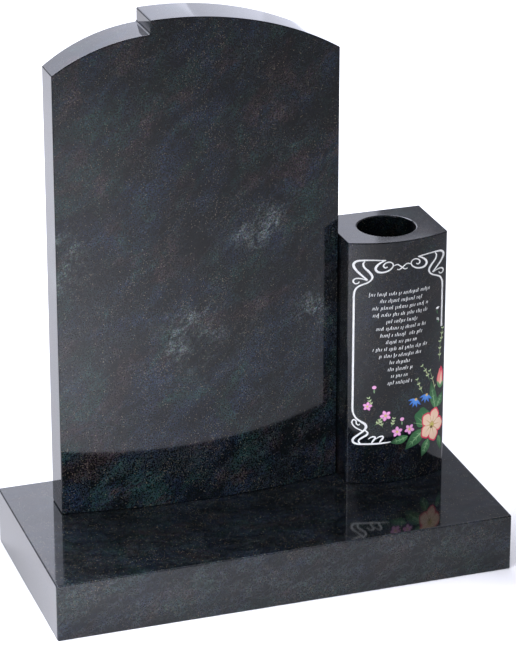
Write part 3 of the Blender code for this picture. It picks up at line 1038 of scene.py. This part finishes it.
# Each row starts with a place in millimetres across and up from the middle of the face's top edge
sprigs = (  # foot, heading and length, and how far it bends, in degrees
    ((58, -238), 100, 46, 14), ((47, -214), 108, 32, 20), ((36, -230), 118, 28, -10),
    ((63, -190), 84, 34, 10), ((66, -164), 88, 26, -8), ((-38, -240), 120, 16, -14),
    ((-24, -272), 104, 14, 10), ((-12, -272), 70, 14, 8), ((-36, -268), 40, 16, 12),
)
wide_leaves = (  # foot, heading, length, width and bend
    ((13, -289), 200, 27, 12, -14), ((40, -284), 212, 40, 19, 16), ((46, -300), 250, 27, 14, -8),
    ((58, -258), 104, 46, 12, -6), ((60, -256), 58, 24, 12, 12), ((64, -300), 288, 24, 9, -14),
    ((67, -302), 270, 20, 6, 6),
)
pink_blossoms = (  # middle, radius and turn
    ((-45.6, -238.6), 6.6, 10), ((-20.2, -253.9), 8, 40),
    ((-3.2, -279.8), 7.8, 20), ((15.2, -278.8), 7.6, 55),
)
pink_buds = (((-36.5, -210.7), 3), ((3.8, -261.9), 3.1))  # middle and radius
bellflowers = (((24.5, -236), -122), ((42, -233), -112))  # middle and heading
white_buds = (((55, -109), 20), ((57, -122), -50))  # foot and heading
print("the spray has", len(sprigs), "sprigs and", len(wide_leaves), "wide leaves")

# %% Paint the spray


def paint_round_leaf(heart, foot):
    """The wide round leaf behind the large blossom, with ribs that fan out from its foot."""
    add_paint(disc((36, -266), 12.5, 15, 0.3, 5, 0.09, 26), leaf_mid, leaf_deep, heart, 34)
    for turn in (84, 108, 132, 156):
        add_paint(leaf(foot, math.radians(turn), 24, 1.3, 0.1, 6), leaf_light, leaf_mid, foot, 26)


def paint_spray():
    """The whole picture from the back forwards."""
    for start, turn, length, bend in sprigs:
        add_sprig(start, turn, length, bend)
    for start, turn, length, width, bend in wide_leaves:
        add_leaf(start, turn, length, width, bend)
    paint_round_leaf((43, -280), (42, -279))
    add_bud((66, -229), 88, 33, 14)
    for centre, radius, turn in pink_blossoms:
        add_blossom(centre, radius, turn)
    for centre, radius in pink_buds:
        add_leaf((centre[0], centre[1] - 9), 92, 9, 1.6, 0, leaf_light)
        add_paint(disc(centre, radius, radius * 0.9, points=10), pink, pink_pale)
    for centre, turn in bellflowers:
        add_bellflower(centre, 10.5, turn)
    add_large_blossom((52, -280.5), 20.5, 68, 1.26)
    for foot, turn in white_buds:
        add_paint(leaf(foot, math.radians(turn), 7, 3.6, 0, 7), bud_white, bud_white)
        add_leaf((foot[0] + 3, foot[1] - 8), 100, 9, 1.4)


paint_spray()
print("the spray is", len(painted), "painted shapes")

# %% [markdown]
# ## Letting the carving into the face
#
# The face is unrolled: across along the bow, and up. One Delaunay triangulation takes in the panel's outline,
# an even spread of inner points that carries the bow, the painted outlines, the strokes and the ribbons. It
# reports which of those outlines each triangle lies in, and the last one wins, as wet paint covers dry. The
# triangles of the border and the strokes are then sunk, each edge between two depths gets a wall, and the
# whole sheet is rolled back on to the bow. A Boolean cut of so many small grooves would be slow and would
# leave gaps.

# %% Layers of the panel
border_depth = 1.0 * mm
mark_depth = 0.6 * mm
white_paint = paint_colour(238, 238, 234)
mark_paint = paint_colour(232, 233, 230)
panel_spacing = 6
panel_merge_distance = 5e-3


def panel_layers():
    """The closed outlines from back to front, each with its depth, heart, tip, centre and reach."""
    layers = [(outline, 0.0, heart, tip, centre, reach) for outline, heart, tip, centre, reach in painted]
    layers += [(quad, mark_depth, mark_paint, mark_paint, quad[0], 1.0) for quad in mark_quads]
    layers += [(quad, border_depth, white_paint, white_paint, quad[0], 1.0) for quad in border_quads]
    return layers


def triangulate_panel(loop, layers, spacing):
    """Triangles of the unrolled panel and, for each one, the number of the last layer it lies in, or -1."""
    low, high = loop.min(axis=0), loop.max(axis=0)
    across = face_across[1:-1] / mm
    upward = np.linspace(low[1], high[1], int((high[1] - low[1]) / spacing))[1:-1]
    spread = np.stack(np.meshgrid(across, upward), axis=-1).reshape(-1, 2)
    outlines = [loop] + [layer[0] for layer in layers]
    starts = np.cumsum([0] + [len(outline) for outline in outlines])
    given = np.concatenate(outlines + [spread])
    faces = [list(range(start, start + len(outline))) for start, outline in zip(starts, outlines)]
    found = delaunay_2d_cdt([Vector(point) for point in given], [], faces, 1, panel_merge_distance, True)
    points = np.array([tuple(point) for point in found[0]])
    known = np.array([ids[0] if ids else -1 for ids in found[3]])
    points[known >= 0] = given[known[known >= 0]]
    return points, np.array(found[2]), np.array([max(ids) - 1 for ids in found[5]])


layers = panel_layers()
print("the face is cut up by", len(layers), "outlines")

# %% Paint and walls of the panel


def corner_paint(flat, triangles, top, layers):
    """Colour and cover at each triangle's corners, in which bare stone has no cover.

    colour = heart * (1 - share) + tip * share, with share = distance from the layer's centre / its reach.
    """
    bare_stone = (None, 0.0, (0.0,) * 3, (0.0,) * 3, (0.0,) * 2, 1.0)
    covers = [bare_stone] + layers
    heart, tip, centre, reach = (np.array([cover[i] for cover in covers])[top + 1] for i in (2, 3, 4, 5))
    share = np.linalg.norm(flat[triangles] - centre[:, None], axis=2) / reach[:, None]
    share = np.clip(share, 0, 1)[..., None]
    cover = np.broadcast_to((top >= 0)[:, None, None] * 1.0, share.shape)
    return np.concatenate([heart[:, None] * (1 - share) + tip[:, None] * share, cover], axis=2)


def groove_walls(faces, sheet):
    """Quads between triangles that share an edge of the flat sheet but lie at two depths.

    The sheet has `sheet` points, and each level has a copy of them: number = flat number + sheet * level.
    """
    edges = np.concatenate([faces[:, [i, (i + 1) % 3]] for i in range(3)])
    key = np.sort(edges % sheet, axis=1)
    order = np.lexsort((key[:, 1], key[:, 0]))
    edges, key = edges[order], key[order]
    paired = np.flatnonzero((key[1:] == key[:-1]).all(axis=1))
    first, second = edges[paired], edges[paired + 1]
    stepped = first[:, 0] // sheet != second[:, 0] // sheet
    first, second = first[stepped], second[stepped]
    return np.stack([first[:, 1], first[:, 0], second[:, 1], second[:, 0]], axis=1)


def roll_on_to_bow(flat, depth):
    """Flat (across, up) in millimetres to the bow: x and y from on_bow, z = pillar top + up."""
    spot, outward = on_bow(flat[:, 0] * mm, np.full(len(flat), depth))
    level = np.zeros((len(flat), 1))
    return np.hstack([spot, pillar_top + flat[:, 1:] * mm]), np.hstack([outward, level])


side_heights = quarter_rounds(stone_foot, pillar_top, pillar_edge)[1]
low_height, high_height = side_heights[len(side_heights) // 2 - 1:len(side_heights) // 2 + 1]
print("the panel is", round((high_height - low_height) / mm, 1), "mm high")

# %% Carved and painted panel


def carved_panel():
    """The panel as two patches: the sunk and painted sheet, and the walls between its depths."""
    across = face_across / mm
    low, high = (low_height - pillar_top) / mm, (high_height - pillar_top) / mm
    loop = np.concatenate([np.stack([across, np.full(len(across), low)], axis=1),
                           np.stack([across[::-1], np.full(len(across), high)], axis=1)])
    flat, triangles, top = triangulate_panel(loop, layers, panel_spacing)
    depths, level = np.unique(np.array([0.0] + [layer[1] for layer in layers])[top + 1], return_inverse=True)
    sheet_faces = triangles + len(flat) * level.reshape(-1)[:, None]
    points, normals = joined([roll_on_to_bow(flat, depth) for depth in depths])
    walls = groove_walls(sheet_faces, len(flat))
    diagonals = points[walls[:, 2]] - points[walls[:, 0]], points[walls[:, 3]] - points[walls[:, 1]]
    wall_normals = np.repeat(np.cross(*diagonals)[:, None], 4, axis=1)
    wall_paint = np.broadcast_to(np.append(white_paint, 1.0), walls.shape + (4,))
    print("the panel has", len(triangles), "triangles and", len(walls), "groove walls")
    sheet_paint = corner_paint(flat, triangles, top, layers)
    return [patch(points, sheet_faces, normals, sheet_paint), patch(points, walls, wall_normals, wall_paint)]


pillar_patches = body_patches + carved_panel()
vase_pillar_stone = make_stone("vase_pillar_stone", pillar_patches, "vase_pillar")

# %% [markdown]
# ## Nodes by plain calls
#
# Every stone's polish and colour come from shader nodes. Clicked together in the editor they would be quick
# to try, but hard to repeat, so a few helpers add them from code: one adds any node, one feeds a socket, and
# three make the kinds that the granite uses most. The last one lays the nodes out in columns, so that the
# finished tree can be read in the editor too.

# %% Node helpers
column_step = 260
row_step = -220


def node(tree, kind, **values):
    """Add a node, set its plain properties, and set its sockets from keys that name them."""
    made = tree.nodes.new(kind)
    for name, value in values.items():
        if name.startswith("in_"):
            made.inputs[name[3:].replace("_", " ")].default_value = value
        else:
            setattr(made, name, value)
    return made


def feed(tree, socket, value):
    """Link a socket to the output that feeds it, or give it a plain number or colour."""
    if isinstance(value, bpy.types.NodeSocket):
        tree.links.new(value, socket)
    else:
        socket.default_value = value


def blend_colours(tree, factor, first, second, mode='MIX'):
    """A colour Mix node: first * (1 - factor) + mode(first, second) * factor."""
    mix = node(tree, "ShaderNodeMix", data_type='RGBA', blend_type=mode)
    for number, value in ((0, factor), (6, first), (7, second)):
        feed(tree, mix.inputs[number], value)
    return mix.outputs[2]


def combine(tree, operation, first, second):
    """A Math node on two values, such as MULTIPLY for their product or MAXIMUM for the larger one."""
    made = node(tree, "ShaderNodeMath", operation=operation)
    feed(tree, made.inputs[0], first)
    feed(tree, made.inputs[1], second)
    return made.outputs[0]


def rescale(tree, source, low, high, least=0.0, most=1.0, way='SMOOTHSTEP'):
    """A Map Range node that turns low..high of a value into least..most, and holds it there outside."""
    ramp = node(tree, "ShaderNodeMapRange", interpolation_type=way, in_From_Min=low, in_From_Max=high,
                in_To_Min=least, in_To_Max=most)
    feed(tree, ramp.inputs["Value"], source)
    return ramp.outputs["Result"]


def lay_out(tree):
    """Put each node one column right of the last node that feeds it, and stack each column downwards."""
    columns = {}

    def column_of(item):
        if item.name not in columns:
            sources = [link.from_node for socket in item.inputs for link in socket.links]
            columns[item.name] = 1 + max((column_of(source) for source in sources), default=-1)
        return columns[item.name]

    filled = {}
    for item in tree.nodes:
        column = column_of(item)
        item.location = (column_step * column, row_step * filled.get(column, 0))
        filled[column] = filled.get(column, 0) + 1


print("each column of nodes is", column_step, "wide")

# %% [markdown]
# ## The granite
#
# The stone is a dark, banded granite. From afar it is a green-black with slanting patches of bluish and
# reddish grey and a few pale, streaky clouds; close up it is a tight weave of millimetre crystals with tan
# and silver flecks. A single colour with gloss would look like plastic, and a picture wrapped round the stone
# would smear at its edges. So one node group builds the figure in several sizes from object coordinates: it
# reaches right through the stone, as in a real block. The gloss stays on each material's own shader.

# %% Granite group and its sockets
figure = bpy.data.node_groups.new("banded_granite", 'ShaderNodeTree')
colour_inputs = ("Ground", "Green", "Blue", "Red", "Cloud", "Fleck")
number_inputs = ("Polish", "Streaks", "Grain")
for name in colour_inputs:
    figure.interface.new_socket(name=name, in_out='INPUT', socket_type='NodeSocketColor')
for name in number_inputs:
    figure.interface.new_socket(name=name, in_out='INPUT', socket_type='NodeSocketFloat')
figure.interface.new_socket(name="Slant", in_out='INPUT', socket_type='NodeSocketVector')
figure.interface.new_socket(name="Color", in_out='OUTPUT', socket_type='NodeSocketColor')
figure.interface.new_socket(name="Roughness", in_out='OUTPUT', socket_type='NodeSocketFloat')
given = node(figure, "NodeGroupInput").outputs
place = node(figure, "ShaderNodeTexCoord").outputs["Object"]
print("the granite group takes", len(colour_inputs), "colours,", len(number_inputs), "numbers and a slant")

# %% Places and noise


def slanted(shift, stretch):
    """Object coordinates turned back by the slant, and then drawn out along their own Z by the stretch."""
    turned = node(figure, "ShaderNodeMapping", vector_type='TEXTURE', in_Location=shift,
                  in_Scale=(1.0, 1.0, stretch))
    feed(figure, turned.inputs["Vector"], place)
    feed(figure, turned.inputs["Rotation"], given["Slant"])
    return turned.outputs["Vector"]


def noise(source, per_metre, detail=3, rough=0.6, distortion=0.6):
    """Cloudy noise between 0 and 1 with `per_metre` swells in a metre."""
    made = node(figure, "ShaderNodeTexNoise", in_Scale=per_metre, in_Detail=detail, in_Roughness=rough,
                in_Distortion=distortion)
    feed(figure, made.inputs["Vector"], source)
    return made.outputs["Fac"]


def times(first, second):
    """The product of two values of the figure."""
    return combine(figure, 'MULTIPLY', first, second)


print("the figure is read from the", place.name, "coordinates")

# %% [markdown]
# ### Tinted patches
#
# The polished stone is nearly black, with faint patches of blue, green and red a few centimetres across. They
# could be painted in one noise with a colour ramp, but the colours would then always come in the same order.
# Each tint has its own noise, drawn out along the slant, so the patches overlap as minerals do.

# %% Tinted patches
tint_patches = (  # tint, swells in a metre, and the noise at which a patch begins and is full
    ("Blue", 15, 0.45, 0.60),
    ("Green", 19, 0.49, 0.63),
    ("Red", 22, 0.52, 0.65),
)
tint_strength = 0.9
patch_stretch = 1.6
colour = given["Ground"]
for number, (tint, per_metre, begins, full) in enumerate(tint_patches):
    own_place = slanted(shift=(3.1 * number, 1.7 * number, 0.6), stretch=patch_stretch)
    patches = noise(own_place, per_metre, detail=4, rough=0.65, distortion=0.5)
    amount = times(rescale(figure, patches, begins, full), tint_strength)
    colour = blend_colours(figure, amount, colour, given[tint])
print("patches of", len(tint_patches), "tints lie over the ground colour")

# %% [markdown]
# ### Pale clouds
#
# A few pale clouds stand out on the headstone, each a handful of short slanting streaks. Noise alone would
# put them anywhere, so each cloud has a middle and a reach in the stone. Within it a coarse noise gives the
# cloud a ragged edge, and a fine one breaks it into streaks. The same streaks lie very faintly over the whole
# stone.

# %% Pale clouds and streaks
pale_clouds = (  # middle and reach, in metres
    ((0.034, 0.03, 0.478), 0.034),
    ((0.008, 0.03, 0.458), 0.036),
    ((-0.076, 0.03, 0.325), 0.062),
    ((-0.256, 0.04, 0.445), 0.060),
    ((0.100, 0.03, 0.330), 0.040),
    ((0.21, 0.05, 0.26), 0.04),
)
cloud_core = 0.15


def in_any_cloud():
    """The largest share of any cloud: each fades from 1 at its core share of its reach to 0 at its reach."""
    largest = 0.0
    for middle, reach in pale_clouds:
        far = node(figure, "ShaderNodeVectorMath", operation='DISTANCE')
        feed(figure, far.inputs[0], place)
        feed(figure, far.inputs[1], middle)
        near = rescale(figure, far.outputs["Value"], reach, cloud_core * reach)
        largest = combine(figure, 'MAXIMUM', near, largest)
    return largest


coarse = noise(slanted(shift=(0, 5, 0), stretch=1.5), per_metre=30, distortion=0.8)
fine = noise(slanted(shift=(0, 2, 0), stretch=2.1), per_metre=170, rough=0.65)
ragged = rescale(figure, coarse, 0.32, 0.58)
streaks = rescale(figure, fine, 0.32, 0.72)
pale = times(times(in_any_cloud(), ragged), streaks)
colour = blend_colours(figure, pale, colour, given["Cloud"])
colour = blend_colours(figure, times(streaks, given["Streaks"]), colour, given["Cloud"])
print("there are", len(pale_clouds), "pale clouds, broken up into streaks")

# %% [markdown]
# ### Veins, swells and grain
#
# Under a soft light the stone is mottled: broad swells, thin veins along the slant, and a grain of a
# millimetre or two. One noise with more detail would mix them, with no say over each. Here three noises
# multiply the colour, each lightening and darkening it by its own amount.

# %% Veins, swells and grain
grain_per_metre = 560
long_noise = noise(slanted(shift=(4, 0, 0), stretch=4.0), per_metre=75)
veins = rescale(figure, long_noise, 0.30, 0.70, least=0.65, most=1.35, way='LINEAR')
broad_noise = noise(slanted(shift=(1, 6, 0), stretch=1.6), per_metre=26)
swells = rescale(figure, broad_noise, 0.35, 0.65, least=0.50, most=1.65, way='LINEAR')
grain = rescale(figure, noise(place, grain_per_metre, detail=1, rough=0.5, distortion=0.0), 0.34, 0.66)
shade = rescale(figure, grain, 0.0, 1.0, least=0.3, most=1.9, way='LINEAR')
mottle = times(times(veins, swells), shade)
grey = node(figure, "ShaderNodeCombineColor")
for channel in ("Red", "Green", "Blue"):
    feed(figure, grey.inputs[channel], mottle)
colour = blend_colours(figure, given["Grain"], colour, grey.outputs["Color"], 'MULTIPLY')
print("a grain is about", round(1 / grain_per_metre / mm, 1), "mm across")

# %% [markdown]
# ### Crystals and flecks
#
# Granite is a weave of crystals, and here and there one of them catches the light. Single specks could be
# scattered as small objects, but there are thousands. A Voronoi texture gives every crystal its own colour,
# and that colour serves as its lot: crystals with a high red value become flecks where the stone is rich in
# them, and those with a very high green value anywhere.

# %% Crystals and flecks
crystals_per_metre = 640
crystal_contrast = 0.38
crystals = node(figure, "ShaderNodeTexVoronoi", in_Scale=crystals_per_metre)
feed(figure, crystals.inputs["Vector"], place)
colour = blend_colours(figure, crystal_contrast, colour, crystals.outputs["Color"], 'MULTIPLY')
lot = node(figure, "ShaderNodeSeparateColor")
feed(figure, lot.inputs["Color"], crystals.outputs["Color"])
dots = rescale(figure, crystals.outputs["Distance"], 0.55, 0.25)
rich_noise = noise(slanted(shift=(7, 0, 0), stretch=1.6), per_metre=26, distortion=0.5)
rich = rescale(figure, rich_noise, 0.42, 0.70)
chosen = rescale(figure, lot.outputs["Red"], 0.72, 1.0)
lone = rescale(figure, lot.outputs["Green"], 0.93, 1.0)
flecks = combine(figure, 'MAXIMUM', times(times(dots, chosen), rich), times(dots, lone))
colour = blend_colours(figure, flecks, colour, given["Fleck"])
print("a crystal is about", round(1 / crystals_per_metre / mm, 1), "mm across")

# %% [markdown]
# ### Polish
#
# A polishing wheel leaves hard and soft crystals not quite equally smooth. One roughness for the whole stone
# would do from afar, but near by the mirrored edges would be too clean. So the grain adds a little to the
# polish that each stone asks for.

# %% Outputs of the granite group
grain_roughness = 0.03
rough = node(figure, "ShaderNodeMath", operation='MULTIPLY_ADD')
for number, value in enumerate((grain, grain_roughness, given["Polish"])):
    feed(figure, rough.inputs[number], value)
result = node(figure, "NodeGroupOutput").inputs
feed(figure, result["Color"], colour)
feed(figure, result["Roughness"], rough.outputs[0])
lay_out(figure)
print("the granite group has", len(figure.nodes), "nodes")

# %% [markdown]
# ## Three cuts of the granite
#
# The stones come from one quarry, but each is sawn another way, so each gets the same group with its own
# slant, streaks and strength of grain. The base and the pillar are the darker cuts. The carving and the
# flowers are painted, and paint is matt beside polished stone. It could be a second material on faces of its
# own, but then its colours couldn't run into each other, so the face's paint attribute blends colour and
# gloss instead.

# %% Stone tones
headstone_tones = {
    "Ground": (0.0052, 0.0075, 0.0092),
    "Green": (0.0072, 0.0180, 0.0168),
    "Blue": (0.0062, 0.0108, 0.0190),
    "Red": (0.0178, 0.0128, 0.0138),
    "Cloud": (0.100, 0.120, 0.115),
    "Fleck": (0.125, 0.105, 0.075),
}
darker_tones = {
    "Ground": (0.0034, 0.0046, 0.0060),
    "Green": (0.0048, 0.0098, 0.0098),
    "Blue": (0.0045, 0.0070, 0.0115),
    "Red": (0.0095, 0.0078, 0.0082),
    "Cloud": headstone_tones["Cloud"],
    "Fleck": (0.100, 0.080, 0.052),
}
polish = 0.05
refraction = 1.38
paint_roughness = 0.5
print("each cut has", len(darker_tones), "tones")

# %% Stone materials


def granite(name, tones, slant, streaks, grain, with_paint=False):
    """Polished granite, with the painted colours over it where the face's paint attribute covers it."""
    material = bpy.data.materials.new(name)
    material.use_nodes = True
    tree = material.node_tree
    shader = tree.nodes["Principled BSDF"]
    shader.inputs["IOR"].default_value = refraction
    radians = [math.radians(angle) for angle in slant]
    cut = node(tree, "ShaderNodeGroup", node_tree=figure, in_Polish=polish, in_Slant=radians,
               in_Streaks=streaks, in_Grain=grain)
    for socket, tone in tones.items():
        cut.inputs[socket].default_value = (*tone, 1.0)
    colour, rough = cut.outputs["Color"], cut.outputs["Roughness"]
    if with_paint:
        paint = node(tree, "ShaderNodeAttribute", attribute_name="paint")
        colour = blend_colours(tree, paint.outputs["Alpha"], colour, paint.outputs["Color"])
        matt = node(tree, "ShaderNodeMix", data_type='FLOAT')
        for number, value in ((0, paint.outputs["Alpha"]), (2, rough), (3, paint_roughness)):
            feed(tree, matt.inputs[number], value)
        rough = matt.outputs[0]
    feed(tree, shader.inputs["Base Color"], colour)
    feed(tree, shader.inputs["Roughness"], rough)
    lay_out(tree)
    return material


cuts = (  # stone, material, tones, slant in degrees, streaks, grain, and whether its face is painted
    (base_stone, "base_granite", darker_tones, (8, 66, 0), 0.10, 0.7, False),
    (headstone_stone, "headstone_granite", headstone_tones, (12, 44, 10), 0.03, 1.0, False),
    (vase_pillar_stone, "pillar_granite", darker_tones, (10, 40, 20), 0.03, 0.85, True),
)
for stone, *cut in cuts:
    stone.data.materials.append(granite(*cut))
    print(stone.name, "wears", stone.data.materials[0].name)

# %% [markdown]
# ## Floor and light
#
# Nearly all that one sees on black polished stone is its surroundings. The upright faces mirror the floor in
# front, the tops mirror what is behind, and the left side mirrors the floor behind. With one lamp over the
# stones, all of these would mirror a dark room. So the studio is planned as a picture for them: a plain pale
# floor, which the overhead lamp makes brightest behind, and large panels that stand behind.

# %% Floor
floor_size = 9.0
floor_colour = (0.90, 0.885, 0.85)
floor_roughness = 0.9


def make_floor():
    """A level sheet under the base: corners at +-size / 2."""
    reach = floor_size / 2
    corners = [(-reach, -reach, 0), (reach, -reach, 0), (reach, reach, 0), (-reach, reach, 0)]
    mesh = bpy.data.meshes.new("floor")
    mesh.from_pydata(corners, [], [(0, 1, 2, 3)])
    floor = bpy.data.objects.new("floor", mesh)
    bpy.context.scene.collection.objects.link(floor)
    material = bpy.data.materials.new("floor")
    material.use_nodes = True
    shader = material.node_tree.nodes["Principled BSDF"]
    shader.inputs["Base Color"].default_value = (*floor_colour, 1)
    shader.inputs["Roughness"].default_value = floor_roughness
    mesh.materials.append(material)
    return floor


make_floor()
print("the floor is", floor_size, "m square")

# %% [markdown]
# ### The room
#
# The sides that no lamp reaches mirror the room itself. A picture of a real room could light it, but it would
# put strange shapes in the polish. An even, pale and slightly cool world keeps them plain.

# %% Room light
daylight = (0.84, 0.86, 1.0)
room_strength = 0.5


def studio_world():
    """An even, slightly cool room."""
    world = bpy.data.worlds.new("studio")
    world.use_nodes = True
    background = world.node_tree.nodes["Background"]
    background.inputs["Color"].default_value = (*daylight, 1)
    background.inputs["Strength"].default_value = room_strength
    bpy.context.scene.world = world
    bpy.context.scene.view_settings.view_transform = 'Standard'
    return world


print("the room is lit by the world", studio_world().name)

# %% [markdown]
# ## Soft boxes
#
# The floor behind is lit from overhead, and the patch of floor that the headstone's face mirrors by two small
# lamps. A low lamp before the base lights the strip of floor that its front mirrors. The upright panels
# behind are what the arched top and the base's top mirror towards the camera. One panel for all of them would
# be simpler but give one flat tone, so each is as bright as the photograph shows its part of the stone. How
# bright a panel looks depends on its watts over its area.

# %% Soft boxes
down = Vector((0, 0, -1))
to_the_front = Vector((0, -1, 0))
wall = 2.2
lamps = (  # name, place and the way it faces, width and height in metres, watts, spread in degrees
    ("overhead", (-0.6, 1.8, 2.5), down, 2.4, 1.5, 140, 180),
    ("front_left", (-0.6, -0.65, 0.6), Vector((0.25, 0.15, -0.6)), 0.4, 0.5, 7, 120),
    ("far_front", (-0.58, -1.42, 1.0), Vector((0.13, 0, -1)), 0.6, 0.8, 13, 130),
    ("before_base", (0.0, -0.235, 0.13), down, 0.62, 0.15, 0.23, 100),
    ("right_back", (1.6, 2.8, 2.9), down, 1.6, 1.6, 22, 180),
    ("wall_high", (0.13, wall, 1.655), to_the_front, 2.06, 0.59, 9, 180),
    ("wall_low", (-0.1, wall, 1.055), to_the_front, 1.6, 0.61, 9.2, 180),
    ("wall_right", (0.865, wall, 1.055), to_the_front, 0.33, 0.61, 1.1, 180),
    ("wall_far_right", (1.28, wall, 0.85), to_the_front, 0.5, 0.5, 1.05, 180),
    ("wall_right_foot", (1.28, wall, 0.38), to_the_front, 0.5, 0.44, 1.6, 180),
)


def soft_box(name, place, facing, width, height, watts, spread):
    """A rectangular lamp at `place` that faces one way, with its light kept within `spread` degrees."""
    data = bpy.data.lights.new(name, 'AREA')
    data.color = daylight
    data.shape = 'RECTANGLE'
    data.size, data.size_y, data.energy = width, height, watts
    data.spread = math.radians(spread)
    lamp = bpy.data.objects.new(name, data)
    lamp.location = place
    lamp.rotation_mode = 'QUATERNION'
    lamp.rotation_quaternion = facing.to_track_quat('-Z', 'Y')
    bpy.context.scene.collection.objects.link(lamp)
    return lamp


print("soft boxes:", [soft_box(*lamp).name for lamp in lamps])
